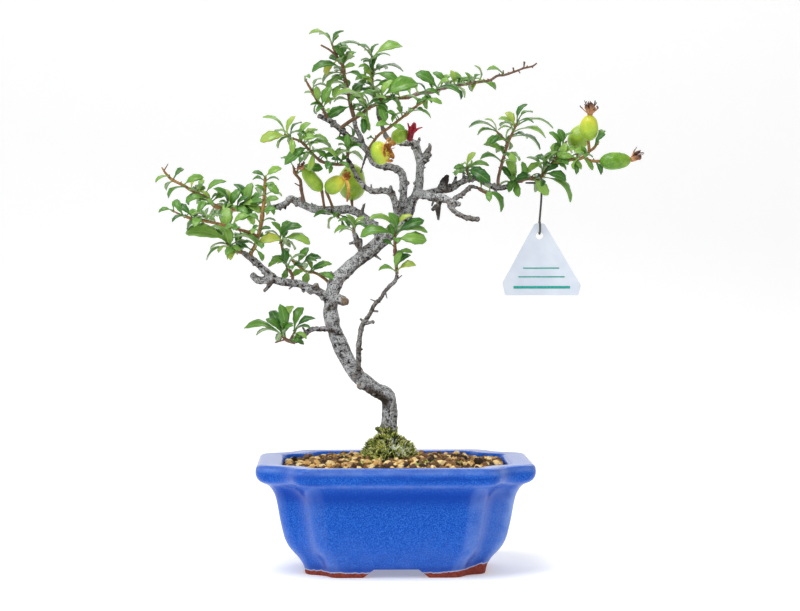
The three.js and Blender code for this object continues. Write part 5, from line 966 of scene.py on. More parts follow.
@dataclass(frozen=True)
class QuinceSkin(Finish):
    """Skin of a young quince: waxy, green to yellow with ripeness, finely dotted with pale lenticels."""

    name: str = "young_quince_skin"
    green: str = "#588a1c"
    lime: str = "#a3c034"
    yellow: str = "#dccb3c"
    dot: str = "#c3d278"

    def shader(self, tree: Tree, place: Socket) -> Inputs:
        """Ripeness from a value, dots a millimetre or so apart on Object coordinates."""
        blush = node(tree, "TexNoise", {"Vector": place, "Scale": 1 / (4 * MM), "Detail": 3.0})
        skin = node(tree, "ValToRGB", {"Fac": varied(tree, "tone", blush, 0.5)},
                    [(0.1, self.green), (0.5, self.lime), (0.9, self.yellow)])
        cells = node(tree, "TexVoronoi", {"Vector": place, "Scale": 1 / (1.0 * MM)})
        dots = node(tree, "MapRange", {"Value": cells, "From Min": 0.3, "From Max": 0.12, "To Max": 0.5})
        soft = node(tree, "Bump", {"Height": blush, "Strength": 0.6, "Distance": 0.8 * MM})
        bump = node(tree, "Bump", {"Height": cells, "Strength": 0.5, "Distance": 0.3 * MM, "Normal": soft})
        return {"Base Color": coats(tree, skin, [(dots, self.dot)]), "Roughness": 0.32, "IOR": 1.46,
                "Subsurface Weight": 0.2, "Subsurface Radius": (1.2 * MM, 1.2 * MM, 0.3 * MM),
                "Subsurface Scale": 1.0, "Normal": bump}


@dataclass(frozen=True)
class DriedPetal(Finish):
    """Withered petal: papery, brittle and creased, darker at its tip."""

    name: str
    root: str
    tip: str

    def shader(self, tree: Tree, place: Socket) -> Inputs:
        """Root to tip colour from a value, with creases on Object coordinates."""
        crease = node(tree, "TexNoise", {"Vector": place, "Scale": 1 / (1.1 * MM), "Detail": 4.0})
        base = node(tree, "ValToRGB", {"Fac": varied(tree, "tone", crease, 0.9)},
                    [(0.1, self.root), (0.9, self.tip)])
        bump = node(tree, "Bump", {"Height": crease, "Strength": 0.7, "Distance": 0.4 * MM})
        return {"Base Color": base, "Roughness": 0.75, "Normal": bump}


@dataclass(frozen=True)
class BakedGranule(Finish):
    """Baked clay granules: dull, porous and dusty, ochre, brown or near black by their firing."""

    name: str = "baked_clay_granules"
    shades: tuple[tuple[float, str], ...] = (
        (0.0, "#ffe4a6"), (0.24, "#d6a65c"), (0.48, "#8c6840"), (0.74, "#573d26"), (1.0, "#281b12"),
    )
    pore: str = "#8a7460"

    def shader(self, tree: Tree, place: Socket) -> Inputs:
        """Shade from each granule's own value, with pores on Object coordinates."""
        tone = node(tree, "Attribute", out="Fac", attribute_name="tone")
        base = node(tree, "ValToRGB", {"Fac": tone}, self.shades)
        pores = node(tree, "TexNoise", {"Vector": place, "Scale": 1 / (0.8 * MM), "Detail": 4.0,
                                        "Roughness": 0.7})
        dust = node(tree, "ValToRGB", {"Fac": pores}, [(0.34, self.pore), (0.52, "#ffffff")])
        final = node(tree, "Mix", {0: 0.7, 6: base, 7: dust}, data_type="RGBA", blend_type="MULTIPLY")
        bump = node(tree, "Bump", {"Height": pores, "Strength": 0.9, "Distance": 0.35 * MM})
        return {"Base Color": final, "Roughness": 0.92, "Normal": bump}


@dataclass(frozen=True)
class MossAndLichen(Finish):
    """Cushion moss with grey lichen: countless tiny shoots, soft and matt, yellow-green at their tips, on a
    dome painted dark as the shade between them.
    """

    name: str = "cushion_moss"
    # Darkest shoots, and the painted shade of the gaps between shoots.
    deep: str = "#141b05"
    green: str = "#8aa436"
    bright: str = "#dcdc5e"
    tip: str = "#fff8c0"
    lichen: str = "#f6fff0"

    def shader(self, tree: Tree, place: Socket) -> Inputs:
        """Root to tip from one value, lichen patches from another."""
        mottle = node(tree, "TexNoise", {"Vector": place, "Scale": 1 / (3.0 * MM), "Detail": 3.0})
        base = node(tree, "ValToRGB", {"Fac": varied(tree, "tone", mottle, 0.8)},
                    [(0.05, self.deep), (0.4, self.green), (0.68, self.bright), (1.0, self.tip)])
        return {"Base Color": coats(tree, base, [("lichen", self.lichen)]), "Roughness": 0.95}


@dataclass(frozen=True)
class TagSheet(Finish):
    """Die-cut white plastic sheet, smooth and faintly translucent."""

    name: str = "white_plastic_sheet"
    sheet: str = "#d6dee8"
    shade: str = "#c9d1df"

    def shader(self, tree: Tree, place: Socket) -> Inputs:
        """Pale sheet with a slow haze on Object coordinates."""
        haze = node(tree, "TexNoise", {"Vector": place, "Scale": 1 / (12 * MM), "Detail": 2.0})
        base = node(tree, "ValToRGB", {"Fac": haze}, [(0.3, self.shade), (0.7, self.sheet)])
        return {"Base Color": base, "Roughness": 0.3, "IOR": 1.49, "Subsurface Weight": 0.1,
                "Subsurface Radius": (0.5 * MM, 0.5 * MM, 0.6 * MM), "Subsurface Scale": 1.0}


@dataclass(frozen=True)
class MouldedPlastic(Finish):
    """Plain moulded or drawn plastic: even, slightly grained, dull where it is handled."""

    name: str
    tint: str
    roughness: float
    worn: str = "#b0b0b0"

    def shader(self, tree: Tree, place: Socket) -> Inputs:
        """Even tint with a fine grain on Object coordinates."""
        grain = node(tree, "TexNoise", {"Vector": place, "Scale": 1 / (0.7 * MM), "Detail": 3.0})
        shade = node(tree, "ValToRGB", {"Fac": grain}, [(0.3, self.worn), (0.7, "#ffffff")])
        final = node(tree, "Mix", {0: 1.0, 6: colour(self.tint), 7: shade}, data_type="RGBA",
                     blend_type="MULTIPLY")
        bump = node(tree, "Bump", {"Height": grain, "Strength": 0.3, "Distance": 0.1 * MM})
        return {"Base Color": final, "Roughness": self.roughness, "Normal": bump}


@dataclass(frozen=True)
class PaintedSweep(Finish):
    """Studio sweep in flat white paint, lit a little by itself so that it stays even."""

    name: str = "painted_studio_sweep"
    paint: str = "#f2f2f2"

    def shader(self, tree: Tree, place: Socket) -> Inputs:
        """One plain colour all over."""
        return {"Base Color": colour(self.paint), "Roughness": 0.9, "Emission Color": colour("#ffffff"),
                "Emission Strength": 0.3}


# Parts


@dataclass
class GlazedPot:
    """Pot with recessed corners, a flared wall under a rolled lip, four corner feet and two drain holes."""

    half_width: float = 78.7
    foot_height: float = 4.8
    foot_ring: float = 0.53
    floor: float = 11.0
    gap_front: tuple[float, float] = (18.5, 12.5)
    gap_side: tuple[float, float] = (12.0, 7.0)
    drain_radius: float = 6.0
    drain_offset: float = 24.0
    plan_step: float = 1.5
    plan: tuple[Point, ...] = (
        (78.7, 0), (78.7, 18), (78.7, 29), (78.7, 33), (77.9, 36.4), (75.8, 39.4), (73.1, 41.2), (70, 42.5),
        (66.6, 44.3), (63.3, 46.9), (60.7, 50.2), (58.6, 53.8), (56.8, 56.9), (54.6, 59.2), (51.5, 60.6),
        (47.5, 61), (30, 61), (0, 61),
    )
    outer: tuple[Point, ...] = (
        (50.2, 0), (50.9, 0.5), (51.9, 4.8), (54.6, 9.4), (57.6, 12.8), (60.4, 16.4), (62.4, 20.5),
        (63.6, 24.7), (65.2, 32), (66.6, 40), (67.8, 45), (69.3, 48.2), (71.2, 50.6), (73.4, 52),
        (75.4, 52.9), (77.2, 54.4), (78.3, 56.4), (78.7, 58.6), (78.4, 61), (77.6, 62.3), (76.2, 62.9),
    )
    inner: tuple[Point, ...] = (
        (74, 63), (71, 62.9), (68, 62.8), (66, 62.7), (64.9, 62.2), (64.1, 61.2), (63.5, 59.4), (62.9, 54),
        (61.8, 44), (59.8, 33), (57.5, 24), (54.6, 18.6), (51, 14.5), (48.2, 12.2), (46, 11),
    )

    def ring_plan(self) -> Array:
        """Closed plan at full size, counterclockwise: one smoothed quarter, mirrored about both axes."""
        quarter = smooth_profile(self.plan, self.plan_step)
        flipped = quarter[::-1] * (-1, 1)
        half = np.vstack([quarter, flipped[1:]])
        return np.vstack([half, -half[1:-1]])

    def under_height(self, x: Array, y: Array) -> Array:
        """Height of the underside: 0 on the feet, the foot height in the gaps, sloped between.

        Args:
            x: Places across.
            y: Places in depth.

        Returns:
            Height at each place.
        """
        gaps = ((x, self.gap_front), (y, self.gap_side))
        shares = [ramp(low - np.abs(along), low - high) for along, (low, high) in gaps]
        return self.foot_height * np.maximum(*shares)

    def glaze(self, plan: Array, width: Array, points: Array) -> tuple[Array, Array, Array]:
        """How the glaze lies on the skin.

        It is thin and pale where the plan bends and over the lip and the shoulder, where painted highlights
        also lie; bends on the right half are paler than on the left, and the right front facet is paler, as
        painted light on the lit side. The lip also carries a painted reflection, and the wall is paler low
        down. It pools under the lip, in streaks and in a roll above the bare foot, and the neck is darker,
        glaze pooling with painted shade under the overhanging lip. The line of the bare foot rises to the
        right.

        Args:
            plan: The plan at full size.
            width: Half width of each ring, as a column.
            points: Points of the skin, ring by ring.

        Returns:
            How thin it is with the painted light on it, how it pools with the painted shade in the neck, and
            the height of the bare line above each point.
        """
        count = len(plan)
        x, y, z = np.moveaxis(points, -1, 0)
        bend = np.cross(np.gradient(plan, axis=0), np.gradient(np.gradient(plan, axis=0), axis=0))
        edge = ramp(np.convolve(np.tile(bend, 3), np.ones(3) / 3, "same")[count:2 * count], 0.36)
        # Lip: thin glaze with a painted reflection on top.
        lip = (0.35 * hump(z, 61.5, 1.3) + 0.3 * hump(z, 60.2, 1.1)) * (width > 70)
        shoulder = hump(z, 52.8, 1.1) * 0.4
        # Painted light: the right front facet is paler.
        facet = 0.3 * ramp(x - 49, 9) * ramp(-y - 4, 24) * ramp(52 - z, 4)
        low = 0.2 * np.clip(1 - z / 30, 0, 1)
        # Painted highlights: bends on the right half count twice as much as those on the left.
        breaks = np.where(x > 0, 1.0, 0.5) * edge[None, :] * (z < 52) + lip + shoulder + facet + low
        line = 2.7 + 1.2 * ramp(x - 24, 12) + 2.2 * ramp(x - 40, 8) * ramp(24 - y, 10)
        streak = 0.9 * noise(points * (0.1, 0.1, 1.0), 1.5, 23)
        # The neck band at 46.5 is glaze pooling with painted shade under the overhanging lip.
        pools = 0.3 * hump(z, 57.4, 2.0) + 0.85 * hump(z, 46.5, 5.0) + 0.7 * hump(z, 61.4, 0.7) * (width > 76)
        pooled = pools + 0.9 * hump(z - line, 1.9, 1.7) + 0.6 * streak * (z > 53)
        return np.clip(breaks, 0, 1), np.clip(pooled, 0, 1), np.clip(line - z, -4, 4)

    def surface(self) -> Surface:
        """Closed skin of scaled plan rings: underside, outer wall, lip, inner wall and floor."""
        plan = self.ring_plan()
        outer = smooth_profile(self.outer, 1.1)
        inner = smooth_profile(self.inner, 1.6)
        foot = self.foot_ring * self.half_width
        stack = [(2.0, self.foot_height), (foot * 0.6, self.foot_height), (foot, self.foot_height)]
        sole = [(w, -1.0) for w in np.linspace(foot + 0.4, outer[0][0] - 0.4, 7)]
        profile = np.array([*stack, *sole, *outer, *inner, (24.0, self.floor), (2.0, self.floor)])
        width, height = profile[:, :1], profile[:, 1:]
        x, y = (width / self.half_width * plan[None, :, k] for k in (0, 1))
        z = np.broadcast_to(height, x.shape).copy()
        low = np.arange(len(profile)) < len(stack) + len(sole) + len(outer) // 2
        z[low] = np.maximum(z[low], self.under_height(x, y)[low])
        points = np.stack([x, y, z], axis=-1)
        breaks, pooled, bare = self.glaze(plan, width, points)
        surface = Surface()
        surface.add_shell(points, [(0, 0, self.foot_height), (0, 0, self.floor)],
                          breaks=[*breaks.ravel(), 0.0, 0.0], pooled=[*pooled.ravel(), 0.0, 0.0],
                          bare=[*bare.ravel(), -4.0, -4.0])
        return surface

    def build(self) -> bpy.types.Object:
        """Makes the pot and drills its drain holes."""
        piece = make_piece("glazed_pot", self.surface(), [CobaltGlaze().material()])
        for x in (-self.drain_offset, self.drain_offset):
            drill = Surface()
            drill.add_tube(np.array([(x, 0, 1.0, self.drain_radius), (x, 0, 14.0, self.drain_radius)]), 48)
            cutter = make_piece("drill", drill, [])
            cut = piece.modifiers.new("drain", "BOOLEAN")
            cut.object = cutter
            cut.solver = "EXACT"
            mesh = worked(piece)
            piece.modifiers.clear()
            piece.data = mesh
            bpy.data.objects.remove(cutter)
        piece.data.set_sharp_from_angle(angle=math.radians(50))
        settle(piece, "glaze", "pot")
        return piece


@dataclass
class SoilBed:
    """Bed of baked clay granules, crowned towards the trunk."""

    level: float = 59.6
    crown: float = 4.4
    reach: tuple[float, float] = (60.0, 45.0)
    rim_half_width: float = 62.6
    pot_half_width: float = 78.7
    spacing: float = 3.3
    offset: float = 1.6
    sunk: float = 2.2
    bottom: float = 15.0
    shares: tuple[float, ...] = (1.0, 0.9, 0.8, 0.68, 0.54, 0.4, 0.25, 0.1)
    tones: tuple[float, ...] = (0.05, 0.25, 0.5, 0.72, 0.95)
    tone_shares: tuple[float, ...] = (0.2, 0.2, 0.26, 0.2, 0.14)
    seed: int = 7

    def height(self, x: Array, y: Array) -> Array:
        """Smooth height of the bed: level at the rim, raised by a paraboloid towards the trunk."""
        spread = (x / self.reach[0]) ** 2 + (y / self.reach[1]) ** 2
        return self.level + self.crown * np.maximum(0, 1 - spread)

    def inside(self, x: Array, y: Array, plan: Array, margin: float) -> Array:
        """Whether places lie inside the pot's mouth by a margin, from the plan's reach at their angle.

        Args:
            x: Places across.
            y: Places in depth.
            plan: The pot's plan at full size.
            margin: Room to the wall.

        Returns:
            One truth value a place.
        """
        mouth = plan * self.rim_half_width / self.pot_half_width
        angles = np.arctan2(mouth[:, 1], mouth[:, 0])
        order = np.argsort(angles)
        reach = np.interp(np.arctan2(y, x), angles[order], np.hypot(*mouth[order].T), period=2 * math.pi)
        return np.hypot(x, y) < reach - margin

    def build(self, plan: Array) -> bpy.types.Object:
        """Makes the bed with its granules: an even layer and a third as many that lie on it.

        Args:
            plan: The pot's plan at full size.

        Returns:
            The finished piece.
        """
        draw = np.random.default_rng(self.seed)
        surface = Surface()
        mouth = plan * (self.rim_half_width + 0.5) / self.pot_half_width
        rings = np.array(self.shares)[:, None, None] * mouth[None]
        height = self.height(rings[..., 0], rings[..., 1]) - self.sunk
        height += 0.5 * noise(np.dstack([rings, height]), 3.0)
        bottom = np.dstack([mouth[None] * 0.72, np.full((1, len(mouth)), self.bottom)])
        surface.add_shell(np.vstack([bottom, np.dstack([rings, height])]),
                          [(0, 0, self.bottom), (0, 0, self.level + self.crown - 2.4)], tone=0.85)
        half = int(66 / self.spacing)
        cells = np.arange(-half, half + 1) * self.spacing
        grid = (g.ravel() for g in np.meshgrid(cells, cells))
        x, y = (np.concatenate([g, g[::3] + self.offset])
                + draw.uniform(-1.2, 1.2, len(g) + len(g[::3])) for g in grid)
        raised = np.arange(len(x)) >= len(cells) ** 2
        keep = self.inside(x, y, plan, 1.7)
        x, y, raised = x[keep], y[keep], raised[keep]
        number = len(x)
        size = draw.uniform(1.35, 2.6, number)
        z = self.height(x, y) - 0.75 + draw.uniform(-0.5, 0.5, number) + 1.25 * raised
        tone = draw.choice(self.tones, number, p=self.tone_shares) + draw.normal(0, 0.06, number)
        shell, shell_faces = pebble()
        turn = np.linalg.qr(draw.normal(size=(number, 3, 3)))[0]
        stretch = draw.uniform(0.72, 1.25, (number, 1, 3))
        lumps = 1 + draw.uniform(-0.26, 0.22, (number, len(shell), 1))
        stones = (shell[None] * stretch * lumps) @ turn * size[:, None, None]
        stones += np.stack([x, y, z], axis=-1)[:, None]
        surface.add_copies(stones, shell_faces, tone=np.repeat(np.clip(tone, 0, 1), len(shell)))
        piece = make_piece("soil_granules", surface, [BakedGranule().material()])
        piece.data.set_sharp_from_angle(angle=math.radians(24))
        settle(piece, "granules", "soil")
        return piece


def pebble() -> tuple[Array, Array]:
    """Ball of two poles and three rings of six points, each ring turned half a step.

    Returns:
        Its points and its faces.
    """
    rings = []
    for number, polar in enumerate((0.9, math.pi / 2, math.pi - 0.9)):
        angle = 2 * math.pi * (np.arange(6) + 0.5 * (number % 2)) / 6
        level = np.full(6, -math.cos(polar))
        ring = [math.sin(polar) * np.cos(angle), math.sin(polar) * np.sin(angle), level]
        rings.append(np.stack(ring, axis=-1))
    ball = Surface()
    ball.add_shell(np.stack(rings), [(0, 0, -1), (0, 0, 1)])
    return ball.vertices[0], ball.faces[0]


@dataclass
class MossCushion:
    """Cushion of moss round the foot of the trunk, with a patch of grey lichen and stray tufts beside it."""

    centre: tuple[float, float] = (-4.6, -3.6)
    radius: float = 14.6
    rise: tuple[Point, ...] = ((1.06, -1.5), (1.0, 1.2), (0.88, 3.8), (0.66, 7.2), (0.4, 10.6), (0.1, 13.0))
    shoots: int = 5200
    seed: int = 11
    stray_share: float = 0.18
    climbing_share: float = 0.12
    clumps: tuple[Point, ...] = ((-25, -12), (16, -26), (19, -18), (-17, -24), (12, -30), (30, 6),
                                 (-26, 5), (34, -20))

    def lobes(self, angle: Array) -> Array:
        """Outline of the cushion: a circle waved three and seven times round."""
        return 1 + 0.1 * np.sin(3 * angle + 0.8) + 0.05 * np.sin(7 * angle)

    def dome(self, share: Array, angle: Array, bed: SoilBed) -> Array:
        """Points of the dome at shares of its reach and angles about its middle."""
        steps = np.array(self.rise)[::-1]
        reach = share * self.radius * self.lobes(angle)
        x = self.centre[0] + reach * np.cos(angle)
        y = self.centre[1] + reach * np.sin(angle)
        lift = np.interp(share, steps[:, 0], steps[:, 1])
        flat = np.stack([x, y, 0 * x], axis=-1)
        lump = 2.3 * noise(flat, 4.6, 3) + 1.4 * noise(flat, 2.2, 9)
        return np.stack([x, y, bed.height(x, y) + 0.2 + lift + lump], axis=-1)

    def build(self, bed: SoilBed) -> bpy.types.Object:
        """Makes the dome and plants its shoots: on the dome, in stray tufts and up the trunk's foot.

        Args:
            bed: The soil that it sits on.

        Returns:
            The finished piece.
        """
        draw = np.random.default_rng(self.seed)
        surface = Surface()
        share, angle = np.broadcast_arrays(np.linspace(1.06, 0.04, 22)[:, None], full_turn(90)[None])
        dome = self.dome(share, angle, bed)
        low = dome[0] * (1, 1, 0) + (0, 0, bed.level - 2)
        rings = np.vstack([low[None], dome])
        ends = [(*self.centre, bed.level - 2), dome[-1].mean(axis=0)]
        crust = self.lichen(np.vstack([rings.reshape(-1, 3), *ends]))
        # Tone 0 paints the dome under the shoots dark, as shade between the shoots.
        surface.add_shell(rings, ends, tone=0.0, lichen=0.25 * crust)
        number = self.shoots
        around = draw.uniform(0, 2 * math.pi, number)
        out = np.sqrt(draw.uniform(0.0, 1.12, number))
        roots = self.dome(out, around, bed)
        stray = draw.uniform(size=number) < self.stray_share
        clumps = np.array(self.clumps)
        pick = clumps[draw.integers(0, len(clumps), number)] + draw.normal(0, 1.9, (number, 2))
        ground = np.column_stack([pick, bed.height(pick[:, 0], pick[:, 1]) + 0.6])
        roots = np.where(stray[:, None], ground, roots)
        climbing = draw.uniform(size=number) < self.climbing_share
        trunk = np.column_stack([-3.8 + 5.3 * np.cos(around), 0.6 + 5.3 * np.sin(around),
                                 72.0 + 9.0 * draw.uniform(size=number) ** 2])
        roots = np.where(climbing[:, None], trunk, roots)
        away = np.column_stack([roots[:, :2] - self.centre, np.full(number, 13.0)])
        aim = unit(unit(away) + draw.normal(0, 0.42, (number, 3)))
        length = draw.uniform(1.0, 4.2, number) * np.where(stray | climbing, 0.6, 1.0)
        across = unit(np.cross(aim, draw.normal(size=(number, 3))))
        through = np.cross(aim, across)
        width = draw.uniform(0.28, 0.5, number)[:, None]
        feet = [roots + width * (np.cos(a) * across + np.sin(a) * through) for a in (0.0, 2.09, 4.19)]
        tips = roots + aim * length[:, None]
        tips[:, 2] -= 0.25 * length
        pattern = np.array([(0, 1, 3, -1), (1, 2, 3, -1), (2, 0, 3, -1), (0, 2, 1, -1)])
        tone = np.clip(draw.uniform(-0.35, 1.5, number) + 0.8 * noise(roots, 3.6, 12) + 0.4 * stray, 0, 1)
        tones = tone[:, None] * (0.5, 0.5, 0.5, 1.0)
        grey = self.lichen(roots) > draw.uniform(0.15, 1, number)
        crusts = np.repeat(grey * draw.uniform(0.7, 1, number), 4)
        surface.add_copies(np.stack([*feet, tips], axis=1), pattern, tone=tones, lichen=crusts)
        piece = make_piece("moss_cushion", surface, [MossAndLichen().material()])
        settle(piece, "moss", "moss")
        return piece

    def lichen(self, points: Array) -> Array:
        """Share of lichen: a round patch on the front right of the cushion, broken up by noise."""
        gap = np.linalg.norm((points - (3.6, -13.0, 71.0)) / (12.0, 10.0, 6.4), axis=-1)
        return np.clip(1.1 - 1.4 * gap + 1.2 * noise(points, 1.7, 5), 0, 1)


@dataclass(frozen=True)
class BarkMark:
    """Mark on the old wood: where it is as x, depth steps and z, its reach and how strong it is."""

    place: tuple[float, float, float]
    reach: float
    strength: float = 1.0


@dataclass
class OldWood:
    """Trunk and branches, grown as one, with cut stubs, knots, thorns and flaking bark."""

    voxel: float = 0.47
    sides: int = 14
    step: float = 0.9
    batch: int = 4000
    # Hollows are sunk into the wood and painted dark as shade.
    hollows: tuple[BarkMark, ...] = (
        BarkMark((-6.6, -2.8, 95.4), 5.6), BarkMark((-37.6, -7, 149.0), 2.4),
        BarkMark((-30.5, -6, 150.6), 2.2), BarkMark((-9.5, -3.4, 189.5), 2.2),
        BarkMark((3.2, -1.4, 206.5), 2.2), BarkMark((-3.0, -5.6, 225.6), 2.0),
        BarkMark((23.0, -6.4, 209.4), 2.0), BarkMark((18.6, 3.8, 236), 2.0),
        BarkMark((-68.5, -13.8, 163), 1.8), BarkMark((-15.6, -6.4, 103.4), 2.4, 0.9),
        BarkMark((12, -0.4, 204), 3.0), BarkMark((9, 0, 201), 2.6), BarkMark((-3.4, -2.4, 79), 3.4, 0.7),
        BarkMark((-31.8, -7.6, 152.6), 1.8), BarkMark((30, -7.4, 208.6), 2.2),
        BarkMark((18, -3.6, 211.2), 2.4),
    )
    cuts: tuple[BarkMark, ...] = (
        BarkMark((-20.4, -7.4, 105.0), 1.9), BarkMark((-28.2, -8.4, 153.8), 3.6),
        BarkMark((-44.6, -9.8, 162.4), 1.8), BarkMark((37.6, -8.2, 208.9), 1.3),
        BarkMark((-74.6, -12, 159.4), 1.0), BarkMark((-82.0, -14, 169.2), 1.2),
        BarkMark((-44, -4, 259.8), 1.3), BarkMark((50, -14, 200.3), 1.7),
    )
    dead: tuple[BarkMark, ...] = (
        BarkMark((28.8, 3.2, 222.6), 7.5), BarkMark((35.4, 5.2, 225.0), 3.0, 0.8),
        BarkMark((24.8, -6.8, 204.4), 5.5, 0.9), BarkMark((39.4, 6, 228), 2.5, 0.7),
    )
    burrs: tuple[Rows, ...] = (
        ((27.0, 2.6, 217.6, 2.9), (28.6, 2.9, 221.6, 2.5), (30.4, 3.3, 225.6, 1.2)),
        ((25.6, -6.2, 211.0, 1.6), (24.8, -6.6, 207.6, 2.0), (25.2, -6.8, 204.6, 1.4)),
        ((-32.8, -6.6, 155.4, 2.7), (-29.2, -7.4, 153.6, 2.8), (-26.8, -8.0, 152.8, 1.7)),
        ((-44.6, -9.2, 161.2, 2.0), (-45, -10, 163.2, 1.7)),
        ((-70.6, -13.2, 167, 2.2), (-69, -13.6, 169, 1.6)), ((18.2, 5.4, 236, 1.8), (21, 6.2, 237.6, 1.2)),
        ((-18.6, -5.6, 105.6, 3.0), (-20.2, -6.8, 105.0, 2.4)),
        ((-20.2, -4.6, 184.6, 2.0), (-21.2, -5, 188.6, 2.9)),
        ((35, -8.2, 209.8, 1.8), (34.2, -8.6, 207.4, 1.2)), ((41, 6, 222.4, 1.8), (41.4, 5.6, 225, 1.2)),
        ((46.8, -13.8, 200.6, 1.4), (48.4, -14, 200.4, 1.85)), ((47, 7.4, 224, 1.8), (46, 8, 226.4, 1.1)),
    )
    thorns: tuple[tuple[Point, Point], ...] = (
        ((24.2, -6.6, 208.2, 1.4), (21.6, -7, 205.6, 1.0)),
        ((25, -6.8, 205.4, 1.5), (25.2, -7.2, 200.0, 0.6)),
        ((-34.2, -6, 167.2, 0.9), (-36.4, -6.6, 170.6, 0.4)),
        ((-9.8, -12, 153, 0.6), (-13.8, -12.4, 154.6, 0.25)),
        ((-5.4, -12.2, 159.2, 0.6), (-4.2, -13, 155, 0.25)),
        ((0, -13, 164.8, 0.6), (4.4, -13.6, 168.4, 0.25)), ((-11, -2, 179.6, 0.9), (-7.6, -2.6, 177.2, 0.3)),
        ((-17.4, -11.6, 141.6, 0.7), (-19.6, -12, 143.4, 0.6)),
        ((-13, -12, 148, 0.7), (-9.4, -13, 147.6, 0.6)), ((22.6, -5, 211.6, 0.8), (21.4, -5.6, 208, 0.5)),
        ((-50.6, -11.8, 135.2, 0.7), (-52.6, -12.5, 138.6, 0.5)),
        ((-16, -4.6, 185, 0.9), (-19.4, -5.4, 183.6, 0.4)),
        ((-4.6, -3.4, 190.6, 0.9), (-1.8, -4.6, 188.2, 0.35)),
        ((-58, -12, 162.6, 0.7), (-60.4, -12.6, 160.4, 0.4)),
        ((-31.8, -6.4, 131, 0.8), (-34.6, -8, 132.4, 0.4)),
        ((-46, 4.2, 206.8, 0.8), (-47.4, 3.6, 209.8, 0.35)),
        ((5.6, -2.2, 220.4, 0.8), (8.4, -2.8, 222.0, 0.4)), ((15.2, 5.2, 229, 0.8), (17.8, 5, 230.2, 0.4)),
        ((50.6, 7.8, 222.2, 0.7), (51.6, 7.4, 225.2, 0.35)),
        ((-30.4, -3.2, 251, 0.7), (-31.6, -4, 247.8, 0.35)),
        ((-13, -5, 217, 0.7), (-13.4, -5.6, 220.4, 0.35)),
    )

    def add_knobs(self, surface: Surface) -> None:
        """Short stubs and swollen burrs from the table, and small knobs scattered on the thinner limbs."""
        for burr in self.burrs:
            surface.add_tube(smooth_path(placed(burr), 0.8), self.sides)
        draw = np.random.default_rng(31)
        for limb in LIMBS:
            path = smooth_path(placed(limb), self.step)
            for place in path[3:-2]:
                if place[3] > 3.2 or draw.uniform() > 0.36:
                    continue
                aim = unit(draw.normal(size=3))
                reach = place[3] + draw.uniform(0.2, 1.2)
                foot = [*(place[:3] + 0.3 * aim * place[3]), 0.62 * place[3]]
                surface.add_tube(np.array([foot, [*(place[:3] + aim * reach), max(0.5, 0.4 * place[3])]]), 10)

    def raw(self) -> Surface:
        """Overlapping tubes along the limbs, swollen and waved by noise."""
        surface = Surface()
        self.add_knobs(surface)
        angle = full_turn(self.sides)
        for limb in LIMBS:
            rows = smooth_path(placed(limb), self.step)
            wave = np.stack(np.broadcast_arrays(
                rows[:, :1] * 0.5 + np.cos(angle) * 2, rows[:, 1:2] * 0.5 + np.sin(angle) * 2, rows[:, 2:3]
            ), axis=-1)
            surface.add_tube(rows, self.sides, relief=0.13 * noise(wave, 4.2, 21))
        return surface

    def nearness(self, points: Array, marks: Iterable[BarkMark]) -> Array:
        """How near points lie to the nearest mark: 1 at its middle, easing to 0 at its reach."""
        value = np.zeros(len(points))
        for mark in marks:
            gap = np.linalg.norm(points - real_place(mark.place), axis=1) / mark.reach
            value = np.maximum(value, mark.strength * np.clip(1.5 * (1 - gap), 0, 1))
        return value

    def girth(self, points: Array) -> Array:
        """Radius of the limb nearest to each point, among points along all limbs."""
        spine = np.vstack([smooth_path(placed(limb), 3.0) for limb in LIMBS])
        found = np.empty(len(points))
        for start in range(0, len(points), self.batch):
            part = points[start:start + self.batch]
            gap = ((part[:, None] - spine[None, :, :3]) ** 2).sum(axis=-1)
            found[start:start + self.batch] = spine[np.argmin(gap, axis=1), 3]
        return found

    def fused(self) -> tuple[Array, Array, Array]:
        """Fuses the tubes by a fine voxel grid and eases them.

        Returns:
            Points of the skin, its normals and its faces.
        """
        rough = make_piece("wood_tubes", self.raw(), [])
        fuse = rough.modifiers.new("fuse", "REMESH")
        fuse.mode = "VOXEL"
        fuse.voxel_size = self.voxel * MM
        ease = rough.modifiers.new("ease", "SMOOTH")
        ease.factor = 0.5
        ease.iterations = 3
        mesh = worked(rough)
        bpy.data.objects.remove(rough)
        points = read(mesh.vertices, "co", 3) / MM - ORIGIN
        outward = read(mesh.vertices, "normal", 3)
        corners = read(mesh.loops, "vertex_index", kind=np.int32)
        sizes = read(mesh.polygons, "loop_total", kind=np.int32)
        starts = read(mesh.polygons, "loop_start", kind=np.int32)
        quads = np.full((len(sizes), 4), -1)
        for k in range(4):
            has = sizes > k
            quads[has, k] = corners[starts[has] + k]
        bpy.data.meshes.remove(mesh)
        return points, outward, quads

    def build(self) -> bpy.types.Object:
        """Raises the bark along the normals of the fused wood, ages it and adds the thorns.

        Crevices are painted dark as shade where flakes and pits lie low, most of all on limb undersides,
        which also get painted shade, and more low on the trunk and on thin limbs. Young wood is brown on thin
        limbs, and the young value also paints shade on sides that face down and to the right, away from the
        light.
        """
        points, outward, quads = self.fused()
        girth = self.girth(points)
        # Hollows: sunk into the relief below and painted with shade in the crack colour.
        hollow = self.nearness(points, self.hollows)
        flakes = noise(points, 1.7, 4)
        pits = noise(points, 0.95, 6)
        relief = 0.06 * girth * noise(points, 4.4, 2) + 0.15 * flakes + 0.2 * pits - 0.8 * hollow
        points = points + outward * relief[:, None]
        young = ramp(2.4 - girth, 1.5, 0.75) * np.clip(0.65 + 0.6 * noise(points, 5.0, 8), 0, 1)
